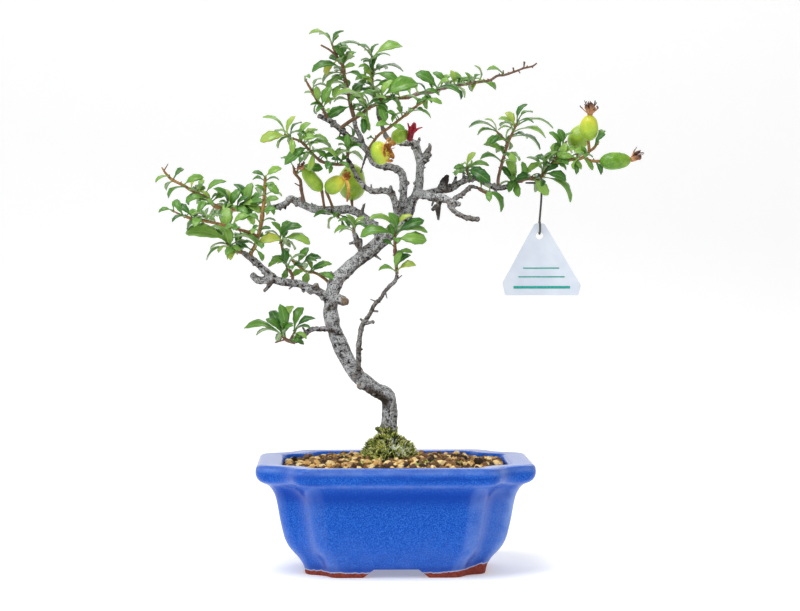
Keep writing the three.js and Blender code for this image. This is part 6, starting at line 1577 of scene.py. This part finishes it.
        # Painted shade: sides facing down and to the right, away from the light, go browner through the young
        # value and darker through the crevices.
        shaded = outward @ np.array([0.4, 0.1, -0.95]) + 0.5 * noise(points, 2.2, 13)
        young = np.clip(young + 0.85 * np.clip(shaded, 0, 1), 0, 0.9)
        height = points[:, 2]
        # worn adds the painted underside shade to more dark cracks low on the trunk and on thin limbs.
        worn = np.clip(shaded + ramp(112 - height, 20, 0.5) + 0.4 * np.clip(3.2 - girth, 0, 1), 0, 1.2)
        # Painted crevice shade: dark where the relief lies low, stronger on shaded undersides.
        crevice = np.clip(-2.0 * flakes - 3.0 * pits - 1.5 + 1.1 * worn, 0, 1)
        climb = ramp(84 - height - 0.9 * (points[:, 0] + 4), 9)
        mossy = climb * np.clip(0.7 + 1.6 * noise(points, 1.6, 17), 0, 1)
        surface = Surface()
        surface.add(points, quads, young=young, hollow=hollow, crevice=crevice, mossy=mossy,
                    cut=0.8 * self.nearness(points, self.cuts), dead=self.nearness(points, self.dead))
        for thorn in self.thorns:
            rows = smooth_path(placed(thorn), 1.0)
            surface.add_tube(rows, 6, young=0.6, hollow=0.0, crevice=0.0, cut=0.0, mossy=0.0,
                             dead=self.nearness(rows[:, :3], self.dead))
        piece = make_piece("old_wood", surface, [QuinceBark().material()])
        settle(piece, "bark", "trunk")
        return piece


@dataclass(frozen=True)
class LeafPlan:
    """One leaf: its root and tip, which way its upper side faces, and how broad and rolled it is."""

    root: Array
    tip: Array
    facing: float
    breadth: float
    roll: float
    tone: float


@dataclass
class LeafySprays:
    """Leafy twigs: smooth stems with buds, and fascicles of spoon-shaped leaves with scalloped edges."""

    petiole: float = 0.9
    slenderness: float = 0.42
    arch: float = 0.19
    fold: float = 0.16
    curl: float = 0.45
    facing_front: float = -0.85
    facing_back: float = -0.3
    roll_range: float = 1.1
    breadth_range: tuple[float, float] = (0.85, 1.15)
    root_scatter: float = 3.0
    root_depth: float = 0.6
    thickness: float = 0.32
    stations: tuple[float, ...] = (0, 0.1, 0.21, 0.33, 0.45, 0.57, 0.69, 0.8, 0.9, 0.97, 1)
    first_seed: int = 101
    bend_steps: int = 20
    tip_match: float = 0.08
    least_half: float = 1.6
    tooth: float = 0.08
    outline_peak: float = 0.3139

    def draws(self, seed: int) -> Iterator[float]:
        """Endless fixed series of draws from 0 to 1 for a seed."""
        state = seed
        while True:
            state = (state * 1664525 + 1013904223) % 4294967296
            yield state / 4294967296

    def nearest(self, stems: Sequence[Sequence[Point]], x: float, z: float) -> Array:
        """Listed point on the stems nearest to a place seen from the front."""
        best, spot = math.inf, None
        for stem in stems:
            rows = np.array(stem, float)[:, :3]
            for a, b in zip(rows[:-1], rows[1:]):
                run = (b[0] - a[0]) ** 2 + (b[2] - a[2]) ** 2
                share = min(1.0, max(0.0, ((x - a[0]) * (b[0] - a[0]) + (z - a[2]) * (b[2] - a[2])) / run))
                here = a + share * (b - a)
                gap = (here[0] - x) ** 2 + (here[2] - z) ** 2
                if gap < best:
                    best, spot = gap, here
        return spot

    def bent(self, plan: LeafPlan, step: int) -> Array:
        """Tip of a leaf that is bent by a whole number of steps about its root, clear of a neighbour."""
        if step == 0:
            return plan.tip
        reach = plan.tip - plan.root
        axis = np.array([0.0, 0.0, 1.0]) if step % 2 == 1 else unit(np.cross(reach, [0.0, 0.0, 1.0]))
        angle = (1 if step % 4 < 2 else -1) * 0.16 * (1 + step // 4)
        turned = (reach * math.cos(angle) + np.cross(axis, reach) * math.sin(angle)
                  + axis * axis.dot(reach) * (1 - math.cos(angle)))
        return plan.root + turned * (1 - 0.03 * (step // 4))

    def plans(self, name: str, number: int) -> list[LeafPlan]:
        """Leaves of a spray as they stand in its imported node.

        Args:
            name: The node.
            number: The spray's place in the table.

        Returns:
            The leaves whose tips the node holds, bent as they are there.
        """
        spray = SPRAYS[name]
        held = read(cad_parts[name].data.vertices, "co", 3) / MM - ORIGIN
        draw = self.draws(self.first_seed + number)
        shade = np.random.default_rng(self.first_seed + number)
        found = []
        for root_x, root_z, tip_x, tip_z, behind in spray.leaves:
            x = root_x + self.root_scatter * (next(draw) - 0.5)
            z = root_z + self.root_scatter * (next(draw) - 0.5)
            root = real_place(self.nearest(spray.stems, x, z))
            tip = real_place((tip_x, (root[1] + behind) / DEPTH_STEP, tip_z))
            facing = self.facing_back if behind > 0 else self.facing_front
            low, high = self.breadth_range
            breadth = low + (high - low) * next(draw)
            roll = self.roll_range * (next(draw) - 0.5)
            tone = spray.tones.get(len(found), float(shade.beta(2.2, 2.4)))
            plan = LeafPlan(root, tip, facing, breadth, roll, tone)
            tips = [self.bent(plan, step) for step in range(self.bend_steps)]
            gaps = [np.linalg.norm(held - t, axis=1).min() for t in tips]
            chosen = int(np.argmin(gaps))
            if gaps[chosen] < self.tip_match:
                found.append(replace(plan, tip=tips[chosen]))
        return found

    def small(self, spray: Spray, number: int) -> list[LeafPlan]:
        """Small leaves that stand round the main stem of a spray, on its leafy share."""
        draw = np.random.default_rng(700 + number)
        path = smooth_path(placed(spray.stems[0]), 1.0)[:, :3]
        found = []
        for _ in range(spray.small):
            foot = path[int(draw.uniform(0.04, spray.leafy) * (len(path) - 1))] + draw.normal(0, 0.3, 3)
            aim = unit(draw.normal(0, 1, 3) * (1, 1, 0.7) + (0, -0.15, 0.35))
            reach = draw.uniform(6.5, 12.5)
            found.append(LeafPlan(foot, foot + aim * reach, draw.uniform(-0.9, -0.1), draw.uniform(0.8, 1.15),
                                  draw.uniform(-0.9, 0.9), float(draw.beta(2.0, 2.6))))
        return found

    def tufts(self, spray: Spray, number: int) -> list[LeafPlan]:
        """Small extra leaves of a spray, fanned about the aims in the table."""
        draw = np.random.default_rng(500 + number)
        found = []
        for x, z, count, *aim, length in spray.tufts:
            root = real_place(self.nearest(spray.stems, x, z))
            for _ in range(int(count)):
                lean = unit(np.array(aim) + draw.normal(0, 0.55, 3) * (1, 1.2, 0.6))
                reach = length * draw.uniform(0.6, 1.1)
                foot = root + draw.normal(0, 0.5, 3)
                found.append(LeafPlan(foot, foot + lean * reach, draw.uniform(-0.9, -0.2),
                                      draw.uniform(0.85, 1.15), draw.uniform(-0.6, 0.6),
                                      float(draw.beta(2.0, 2.6))))
        return found

    def add_leaf(self, surface: Surface, plan: LeafPlan) -> None:
        """Adds one leaf: an arched midrib with a folded, toothed blade, closed below by two facets a side.

        The midrib is a quadratic Bezier from root to tip, raised in its middle, and curls down at its tip.
        The half width follows s to the power 1.25 times (1 - s) to the power 0.72 along the blade, with a
        tooth at every other station. Each half rises from the midrib and levels off to its edge.

        Args:
            surface: The spray that it is added to.
            plan: The leaf.
        """
        reach = plan.tip - plan.root
        length = float(np.linalg.norm(reach))
        ahead = reach / length
        side = unit(np.cross(ahead, [0.0, plan.facing, 1.0]))
        side = side * math.cos(plan.roll) + np.cross(ahead, side) * math.sin(plan.roll)
        lift = np.cross(side, ahead)
        sunk = plan.root - ahead * self.root_depth
        control = plan.root + 0.5 * reach + lift * 2 * self.arch * length
        t = np.array(self.stations)[:, None]
        line = sunk * (1 - t) ** 2 + control * 2 * t * (1 - t) + plan.tip * t**2
        line = line - lift * self.curl * length * np.maximum(t - 0.55, 0) ** 2
        slope = unit(np.gradient(line, self.stations, axis=0))
        normal = np.cross(side, slope)
        s = np.clip((t[:, 0] - 0.2) / 0.8, 0, 1)
        outline = s**1.25 * (1 - s) ** 0.72 / self.outline_peak
        half = max(self.least_half, 0.5 * self.slenderness * length * plan.breadth) * 1.08
        teeth = 1 + self.tooth * np.where(np.arange(len(t)) % 2 == 0, 1, -1)
        width = np.maximum(half * outline * teeth, self.petiole / 2 * (1 - 0.5 * t[:, 0]))
        width[-1] = 0.15
        lanes = np.array([1.0, 0.0, -1.0, -0.5, 0.0, 0.5])
        rise = np.array([1.0, 0.0, 1.0, 0.72, 0.0, 0.72])
        below = np.array([0, 1, 0, 0, 0, 0])
        fold = self.fold * (1.2 + 1.6 * math.sin(40 * plan.tone) ** 2)
        ripple = 0.07 * half * np.sin(11 * t + 30 * plan.tone + 2 * lanes[None]) * np.abs(lanes)[None]
        raised = fold * width[:, None] * rise[None] + ripple * (s[:, None] > 0)
        thick = self.thickness * np.array([0.0, -1.0, 0.0, 0.4, 0.3, 0.4])[None]
        thick = thick - below[None] * np.where(t < 0.2, 0.35, 0.1)
        loop = (line[:, None] + (lanes[None] * width[:, None])[..., None] * side
                + (raised + thick)[..., None] * normal[:, None])
        surface.add_shell(loop, [line[0], line[-1] + 0.12 * slope[-1]], 1, tone=plan.tone,
                          under=[*np.tile(below, len(loop)), 0.5, 0.0],
                          along=[*np.repeat(t[:, 0], len(lanes)), 0.0, 1.0],
                          across=[*np.tile(lanes, len(loop)), 0.0, 0.0])

    def add_stems(self, surface: Surface, spray: Spray, number: int) -> None:
        """Adds the stems of a spray, swollen here and there, with their buds and thorns.

        Args:
            surface: The spray that they are added to.
            spray: Its table.
            number: Its place among the sprays.
        """
        plain = {"under": 0.0, "along": 0.0, "across": 0.0}
        draw = np.random.default_rng(900 + number)
        for stem in spray.stems:
            rows = smooth_path(placed(stem), 0.8)
            rows[:, 3] *= 1 + 0.16 * np.maximum(0, noise(rows[:, :3], 3.2, number)) ** 2 * 4
            young = np.clip(spray.young + 0.3 * np.linspace(-0.5, 0.8, len(rows)), 0, 1)
            surface.add_tube(rows, 8, tone=young, **plain)
            for place in rows[4:-1:5]:
                aim = unit(draw.normal(0, 1, 3) + (0, -0.2, 0.8))
                reach = np.array([[0.0], [place[3]], [place[3] + 0.8]])
                bud = np.column_stack([place[:3] + aim * reach, (0.5, 0.55, 0.2)])
                surface.add_tube(bud, 5, tone=0.3, **plain)
        for thorn in spray.thorns:
            surface.add_tube(smooth_path(placed(thorn), 0.8), 6, tone=0.4, **plain)

    def build(self) -> list[bpy.types.Object]:
        """Makes every spray as one piece: stems, buds and leaves."""
        materials = [YoungStem().material(), QuinceLeaf().material()]
        pieces = []
        for number, (name, spray) in enumerate(SPRAYS.items()):
            surface = Surface()
            self.add_stems(surface, spray, number)
            leaves = self.plans(name, number) + self.tufts(spray, number) + self.small(spray, number)
            for plan in leaves:
                self.add_leaf(surface, plan)
            piece = make_piece(name.replace("spray", "leafy"), surface, materials, uv=("along", "across"))
            settle(piece, "leaf", name)
            log.info("%s: %d leaves of %d", name, len(leaves), len(spray.leaves))
            pieces.append(piece)
        return pieces


@dataclass(frozen=True)
class Fruit:
    """Young fruit: root of its stalk, stalk end, eye end, radius, and ripeness at its ends."""

    root: Point | None
    base: Point
    eye: Point
    radius: float
    ripe: tuple[float, float]


@dataclass
class YoungFruits:
    """Young quinces: plump ribbed bodies, with a sunk eye ringed by the remains of the calyx."""

    girths: tuple[Point, ...] = (
        (0, 0.1), (0.03, 0.34), (0.09, 0.6), (0.18, 0.83), (0.3, 0.97), (0.42, 1.02), (0.56, 1.02),
        (0.7, 0.95), (0.82, 0.82), (0.91, 0.64), (0.97, 0.44), (1.0, 0.32), (0.985, 0.2), (0.95, 0.06),
    )
    ribs: int = 5
    sides: int = 40

    def build(self, name: str, fruit: Fruit, material: bpy.types.Material) -> bpy.types.Object:
        """Makes one fruit with its stalk: rings about its axis, waved by its ribs and by noise.

        Args:
            name: Its node.
            fruit: Its places and ripeness.
            material: Its skin.

        Returns:
            The finished piece.
        """
        low, high = real_place(fruit.base), real_place(fruit.eye)
        axis = high - low
        length = float(np.linalg.norm(axis))
        axis = axis / length
        side = unit(np.cross(axis, [0.0, 1.0, 0.0] if abs(axis[2]) > 0.9 else [0.0, 0.0, 1.0]))
        profile = smooth_profile(self.girths, 0.03)
        share, girth = profile[:, :1], profile[:, 1:]
        angle = full_turn(self.sides)[None]
        around = spokes(side, np.cross(axis, side), angle)
        middle = low + share * length * axis
        rib = 1 + 0.035 * np.cos(self.ribs * angle + 0.7) * np.sin(math.pi * np.clip(share, 0, 1))
        flat = middle[:, None] + fruit.radius * 0.9 * around
        lump = 1 + 0.045 * noise(flat, 4.5, len(name)) + 0.02 * noise(flat, 1.8, 3)
        reach = fruit.radius * 1.01 * girth * rib * lump
        tone = fruit.ripe[0] + (fruit.ripe[1] - fruit.ripe[0]) * np.repeat(share[:, 0], self.sides)
        surface = Surface()
        surface.add_shell(middle[:, None] + reach[..., None] * around, [low, middle[-1]],
                          tone=[*tone, *fruit.ripe])
        if fruit.root is not None:
            root = real_place(fruit.root)
            line = [root, 0.5 * root + 0.5 * low, low, low + 0.1 * length * axis]
            stalk = np.column_stack([line, (0.8, 0.75, 0.95, 0.9)])
            surface.add_tube(smooth_path(stalk, 0.8), 8, 1, tone=0.6)
        piece = make_piece(name.replace("fruit", "quince"), surface, [material, YoungStem().material()])
        settle(piece, "fruit_skin", name)
        return piece


class Hue(Enum):
    """Colour that a flower keeps as it dries."""

    BROWN = "brown"
    OCHRE = "ochre"
    CRIMSON = "crimson"


@dataclass(frozen=True)
class Withered:
    """Dried flower at a fruit's eye: foot, aim, reach, petal width, petals, how open, threads, seed, colour,
    and how far one petal hangs."""

    foot: Point
    aim: Point
    reach: float
    petal: float
    petals: int
    open: float
    threads: int
    seed: int
    hue: Hue = Hue.BROWN
    drop: float = 0.0


@dataclass
class DriedFlowers:
    """Dried flowers: a short cup, creased curling petals and the threads of the stamens."""

    rows: int = 9
    half_thickness: float = 0.12

    def strip(self, surface: Surface, line: Array, across: Array, width: float) -> None:
        """Adds a creased petal: a strip of five lanes along a line, as a thin closed shell.

        Args:
            surface: The flower.
            line: Its middle line.
            across: Direction across it, one row a point.
            width: Its greatest width.
        """
        share = np.linspace(0, 1, len(line))
        half = 0.5 * width * np.maximum(np.sin(math.pi * np.clip(0.12 + 0.8 * share, 0, 1)) ** 0.7, 0.1)
        lanes = np.array([-1.0, -0.4, 0.1, 0.6, 1.0])
        slope = unit(np.gradient(line, axis=0))
        across = unit(across - slope * (across * slope).sum(axis=1, keepdims=True))
        normal = np.cross(across, slope)
        crease = 0.34 * half[:, None] * np.sin(2.6 * lanes[None] + 7 * share[:, None])
        sheet = line[:, None] + (half[:, None] * lanes[None])[..., None] * across[:, None]
        sheet = sheet + crease[..., None] * normal[:, None]
        wall = self.half_thickness * normal[:, None]
        loop = np.concatenate([sheet + wall, (sheet - wall)[:, ::-1]], axis=1)
        surface.add_shell(loop, [line[0], line[-1]], tone=[*np.repeat(share, loop.shape[1]), 0.0, 1.0])

    def build(self, name: str, flower: Withered) -> bpy.types.Object:
        """Makes one dried flower.

        Args:
            name: Its node.
            flower: Its habit.

        Returns:
            The finished piece.
        """
        draw = np.random.default_rng(flower.seed)
        axis = unit(np.array(flower.aim, float))
        start = real_place(flower.foot)
        side = unit(np.cross(axis, [0.3, 1.0, 0.2]))
        up = np.cross(axis, side)
        surface = Surface()
        cup = flower.petal * 0.6
        steps = np.array([-0.5, 0.08 * flower.reach, 0.2 * flower.reach, 0.26 * flower.reach])[:, None]
        girths = cup * np.array([0.8, 1.0, 0.9, 0.6])
        surface.add_tube(np.column_stack([start + steps * axis, girths]), 12, tone=0.3)
        t = np.linspace(0, 1, self.rows)[:, None]
        for k in range(flower.petals * 2):
            angle = 2 * math.pi * (k + 0.8 * draw.uniform()) / (flower.petals * 2)
            inner = k % 2 == 1
            length = flower.reach * draw.uniform(0.62, 1.0) * (0.8 if inner else 1.0)
            bend = flower.open * draw.uniform(0.45, 1.15) * (0.6 if inner else 1.0)
            turn = angle + 0.9 * draw.uniform(-1, 1) * t**2
            spoke = np.cos(turn) * side + np.sin(turn) * up
            opening = 1.5 * t**4 if flower.hue is Hue.CRIMSON else 1.05 * t - 0.3 * t**3
            out = cup * 0.75 + bend * length * opening
            rise = length * (0.08 + t * (0.95 - 0.18 * flower.open * t))
            line = start + rise * axis + out * spoke + 0.05 * length * np.sin(9 * t + k) * up
            around = -np.sin(turn) * side + np.cos(turn) * up
            self.strip(surface, line, around, flower.petal * draw.uniform(0.5, 0.9))
        if flower.drop:
            fall = start + np.array([-0.3 * axis, (1.6, -1.2, -1.5), (2.4, -1.4, -0.5 * flower.drop),
                                     (1.6, -0.8, -flower.drop)])
            line = smooth_path(fall, 1.2)
            self.strip(surface, line, np.array([0.9, -0.4, 0.0]), 0.9 * flower.petal)
        for _ in range(flower.threads):
            angle = draw.uniform(0, 2 * math.pi)
            spoke = math.cos(angle) * side + math.sin(angle) * up
            far = start + axis * flower.reach * draw.uniform(0.6, 1.0)
            far = far + spoke * flower.reach * flower.open * draw.uniform(0, 0.6)
            mid = 0.5 * (start + far) + spoke * draw.uniform(-0.6, 0.8)
            rows = np.column_stack([[start + 0.5 * spoke, mid, far], (0.16, 0.13, 0.24)])
            surface.add_tube(smooth_path(rows, 0.9), 4, tone=0.95)
        finish, slot = PETALS[flower.hue]
        piece = make_piece(name.replace("flower", "withered"), surface, [finish.material()])
        settle(piece, slot, name)
        return piece


FRUITS: dict[str, Fruit] = {
    "fruit_upright": Fruit(None, (111.2, 4, 245.2), (112.2, 4, 260), 5.2, (0.3, 0.78)),
    "fruit_behind": Fruit(None, (101.4, 12.6, 241.4), (111, 14.6, 254), 5.9, (0.3, 0.42)),
    "fruit_level": Fruit(None, (117.6, 2.2, 233.4), (135.4, 2.2, 234.4), 4.9, (0.05, 0.2)),
    "fruit_open": Fruit((-11.5, -3.4, 233.6), (-12.6, -9.6, 236.4), (-3.4, -11.6, 240.2), 6.5, (0.2, 0.85)),
    "fruit_short": Fruit((-35, 3.6, 206.4), (-39, -3, 216.6), (-29.2, -6.4, 223.6), 4.7, (0.15, 0.8)),
    "fruit_long": Fruit((-40, 4, 206.2), (-41.6, -2.4, 216.6), (-52, -5, 229), 3.9, (0.35, 0.3)),
    "fruit_pale": Fruit((-24, 2.6, 206), (-24.4, 8, 211), (-24, 10, 231.6), 7.6, (0.3, 0.4)),
    "fruit_crimson": Fruit((-0.6, 6.8, 245.2), (-1.4, 0.6, 245.6), (7.6, -1.4, 250.4), 4.1, (0.35, 0.3)),
}

PETALS: dict[Hue, tuple[DriedPetal, str]] = {
    Hue.BROWN: (DriedPetal("dried_brown_petal", "#c48f66", "#4f2e22"), "dried_petal"),
    Hue.OCHRE: (DriedPetal("dried_ochre_petal", "#f9c765", "#96561f"), "dried_petal"),
    Hue.CRIMSON: (DriedPetal("dried_crimson_petal", "#650c1a", "#b01f37"), "crimson_petal"),
}

FLOWERS: dict[str, Withered] = {
    "flower_upright": Withered((112.25, 4, 260.6), (0, -0.1, 1), 8.4, 3, 6, 1.0, 16, 3),
    "flower_level": Withered((136, 2.2, 234.4), (0.75, -0.1, 0.65), 8.4, 2.6, 5, 0.5, 8, 5),
    "flower_open": Withered((-6.2, -11.8, 239.6), (0.85, -0.5, -0.02), 5.4, 4.6, 9, 1.3, 30, 7, Hue.OCHRE),
    "flower_short": Withered((-28.7, -6.6, 224), (0.6, -0.6, 0.5), 4.6, 2.3, 6, 1.0, 12, 11, Hue.OCHRE, 13.5),
    "flower_long": Withered((-52.4, -5.1, 229.4), (-0.6, -0.3, 0.7), 4.2, 2.2, 5, 0.9, 5, 13),
    "flower_crimson": Withered((8.6, -2.4, 246), (0.28, -0.1, 1), 10.4, 3.0, 5, 0.36, 22, 23, Hue.CRIMSON),
}


@dataclass
class HangTag:
    """Blank hang tag of plastic sheet with rounded corners and a hole, on its wire tie.

    Places in its plane are listed x and z. A ruled line is its middle's x and z, length and height.
    """

    plane: float = 9
    corners: Rows = ((80.6, 198.2), (62, 164), (63.4, 156.8), (105.8, 156.8), (107.2, 162.6), (86, 198.2))
    rounding: float = 1.2
    thickness: float = 1.2
    bevel: float = 0.12
    hole: Point = (83.3, 191)
    hole_radius: float = 2.1
    rules: Rows = ((84.6, 161.4, 33, 1.5), (84.4, 167.4, 27, 0.7), (84.2, 172.4, 21, 0.7))
    rule_thickness: float = 0.08
    wire_radius: float = 0.62
    ring_high: Point = (82.8, 223.8)
    ring_high_radius: float = 2.6
    ring_low: Point = (83.3, 195.6)
    ring_low_radius: float = 3.6
    bow: float = 1.6
    bow_drop: float = 6.0
    tail: float = 7.6

    def hung(self, places: Rows) -> Array:
        """Real places of listed places in the tag's plane."""
        return placed([(x, self.plane, z) for x, z in places])

    def outline(self) -> Array:
        """Rounded outline in the sheet's plane: each corner is cut by a short quadratic curve."""
        rows = self.hung(self.corners)[:, [0, 2]]
        before, after = np.roll(rows, 1, axis=0), np.roll(rows, -1, axis=0)
        reach = np.minimum(self.rounding, 0.45 * np.minimum(
            np.linalg.norm(before - rows, axis=1), np.linalg.norm(after - rows, axis=1)))[:, None]
        start, end = rows + unit(before - rows) * reach, rows + unit(after - rows) * reach
        t = np.linspace(0, 1, 7)[None, :, None]
        curve = start[:, None] * (1 - t) ** 2 + rows[:, None] * 2 * t * (1 - t) + end[:, None] * t**2
        return curve.reshape(-1, 2)

    def plate(self) -> bpy.types.Object:
        """Sheet as rings between its hole and its outline, on both faces and round both edges."""
        outer = self.outline()
        middle = self.hung([self.hole])[0]
        depth = middle[1]
        centre = middle[[0, 2]]
        dense = np.vstack([np.linspace(a, b, 9)[:-1] for a, b in zip(outer, np.roll(outer, -1, axis=0))])
        inner = centre + self.hole_radius * unit(dense - centre)
        share = np.linspace(0, 1, 14)[:, None, None]
        face = inner[None] + (dense - inner)[None] * share
        half = self.thickness / 2
        side = half - 2 * self.bevel
        front = np.concatenate([face[:-1], dense[None] - self.bevel * unit(dense - centre)[None]])
        levels = [(front, -half), (dense[None], -side), (dense[None], side), (front[::-1], half)]
        stack = np.vstack([np.dstack([f[..., 0], np.full(f.shape[:2], depth + y), f[..., 1]])
                           for f, y in levels])
        surface = Surface()
        surface.add(stack, ring_faces(*stack.shape[:2])[:, ::-1])
        corners = np.array([(i, j, k) for i in (-1, 1) for j in (-1, 1) for k in (-1, 1)])
        sides = np.array([(0, 1, 3, 2), (4, 6, 7, 5), (0, 4, 5, 1), (2, 3, 7, 6), (0, 2, 6, 4), (1, 5, 7, 3)])
        for x, z, length, height in self.rules:
            across, _, up = self.hung([(x, z)])[0]
            size = np.array([length / 2, self.rule_thickness, height / 2])
            surface.add((across, depth - half - 0.02, up) + corners * size, sides, 1)
        ink = MouldedPlastic("teal_ink", "#18b3a4", 0.5).material()
        piece = make_piece("hang_tag", surface, [TagSheet().material(), ink])
        piece.data.set_sharp_from_angle(angle=math.radians(40))
        settle(piece, "tag_plastic", "tag")
        return piece

    def tie(self) -> bpy.types.Object:
        """Coated wire: a loop about the branch with its tail, the hanging strand and the tag's loop."""
        high, low = self.hung([self.ring_high, self.ring_low])
        thick = self.wire_radius
        surface = Surface()
        turn = full_turn(10)[None]
        spoke = spokes(np.array([0.0, 1.0, 0.0]), np.array([0.0, 0.0, 1.0]), full_turn(36))
        for centre, radius in ((high, self.ring_high_radius), (low, self.ring_low_radius)):
            ring = (centre + spoke[:, None] * (radius + thick * np.cos(turn))[..., None]
                    + thick * np.sin(turn)[..., None] * [1.0, 0.0, 0.0])
            surface.add(ring, ring_faces(36, 10))
        foot = high - (0, 0, self.ring_high_radius)
        head = low + (0, 0, self.ring_low_radius)
        strand = [foot, foot + (self.bow, 0, -self.bow_drop), head]
        tail = [foot, foot + (-0.5 * self.tail, -0.4, 0), foot + (-self.tail, 0, 0)]
        for line, end in ((strand, 1.0), (tail, 0.8)):
            surface.add_tube(smooth_path(np.column_stack([line, (thick, thick, thick * end)]), 0.8), 10)
        piece = make_piece("wire_tie", surface, [MouldedPlastic("wire_coating", "#4d4946", 0.5).material()])
        settle(piece, "tie_coat", "tag_tie")
        return piece


@dataclass
class Studio:
    """White sweep, soft lights and the camera at the photograph's angle."""

    distance: float = 1300.0
    height: float = 188.0
    aside: float = -34.0
    pitch: float = 1.63
    yaw: float = 1.639
    lens: float = 102.1

    def sweep(self) -> None:
        """Floor that curves up behind into a backdrop: straight, a quarter round, then straight up."""
        floor = [(y, 0.0) for y in (-9.0, -4.0, -2.0, -1.0, -0.4, 0.0, 0.6, 1.2)]
        arc = np.linspace(0, math.pi / 2, 14)
        curve = [(1.6 + 0.8 * math.sin(a), 0.8 - 0.8 * math.cos(a)) for a in arc]
        line = np.array([*floor, *curve, (2.4, 3.2)])
        x = np.linspace(-9.0, 9.0, 13)
        grid = np.stack(np.broadcast_arrays(x[None], line[:, :1], line[:, 1:]), axis=-1) / MM - ORIGIN
        surface = Surface()
        surface.add(grid, grid_faces(len(line), len(x)))
        make_piece("studio_sweep", surface, [PaintedSweep().material()])

    def light(self, name: str, place: Point, aim: Point, size: float, power: float,
              tint: str = "#ffffff") -> None:
        """Adds a soft square light.

        Args:
            name: Its name.
            place: Where it is, in metres.
            aim: What it points at, in metres.
            size: Its side, in metres.
            power: Its power, in watts.
            tint: Its colour.
        """
        lamp = bpy.data.lights.new(name, "AREA")
        lamp.size = size
        lamp.energy = power
        lamp.color = colour(tint)[:3]
        holder = bpy.data.objects.new(name, lamp)
        holder.location = place
        holder.rotation_euler = (Vector(aim) - Vector(place)).to_track_quat("-Z", "Y").to_euler()
        bpy.context.scene.collection.objects.link(holder)

    def camera(self) -> None:
        """Camera at the photograph's place, turned a little right and down, with a long lens."""
        lens = bpy.data.cameras.new("camera")
        lens.lens = self.lens
        lens.sensor_width = 36.0
        lens.clip_start = 0.05
        holder = bpy.data.objects.new("camera", lens)
        shift = ORIGIN * MM
        holder.location = (self.aside * MM + shift[0], -self.distance * MM + shift[1], self.height * MM)
        holder.rotation_euler = (math.radians(90 - self.pitch), 0.0, -math.radians(self.yaw))
        bpy.context.scene.collection.objects.link(holder)
        bpy.context.scene.camera = holder

    def build(self) -> None:
        """Sets up sweep, lights, surroundings and camera."""
        self.sweep()
        self.light("overhead", (-0.35, -0.45, 1.5), (0.0, 0.0, 0.14), 0.8, 17.0)
        self.light("left_front", (-1.5, -1.2, 0.9), (0.0, 0.0, 0.16), 0.7, 9.0, "#fbfdff")
        self.light("right_front", (1.5, -1.2, 0.7), (0.0, 0.0, 0.16), 1.0, 3.5, "#fffdf8")
        self.light("behind", (0.3, 1.2, 1.3), (0.0, 0.0, 0.2), 1.0, 6.0)
        world = bpy.data.worlds.new("studio_air")
        world.use_nodes = True
        world.node_tree.nodes["Background"].inputs["Color"].default_value = colour("#ffffff")
        world.node_tree.nodes["Background"].inputs["Strength"].default_value = 0.42
        scene = bpy.context.scene
        scene.world = world
        scene.view_settings.view_transform = "Standard"
        self.camera()


def main() -> None:
    """Builds the studio, the pot and what grows in it."""
    logging.basicConfig(level=logging.INFO, format="%(name)s: %(message)s")
    Studio().build()
    pot = GlazedPot()
    pot.build()
    net = MouldedPlastic("net_polyethylene", "#262a2f", 0.55).material()
    for name in ("drain_net_left", "drain_net_right"):
        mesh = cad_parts[name].data
        mesh.materials.clear()
        mesh.materials.append(net)
    bed = SoilBed()
    bed.build(pot.ring_plan())
    MossCushion().build(bed)
    OldWood().build()
    LeafySprays().build()
    skin = QuinceSkin().material()
    for name, fruit in FRUITS.items():
        YoungFruits().build(name, fruit, skin)
    for name, flower in FLOWERS.items():
        DriedFlowers().build(name, flower)
    tag = HangTag()
    tag.plate()
    tag.tie()


if __name__ == "__main__":
    main()
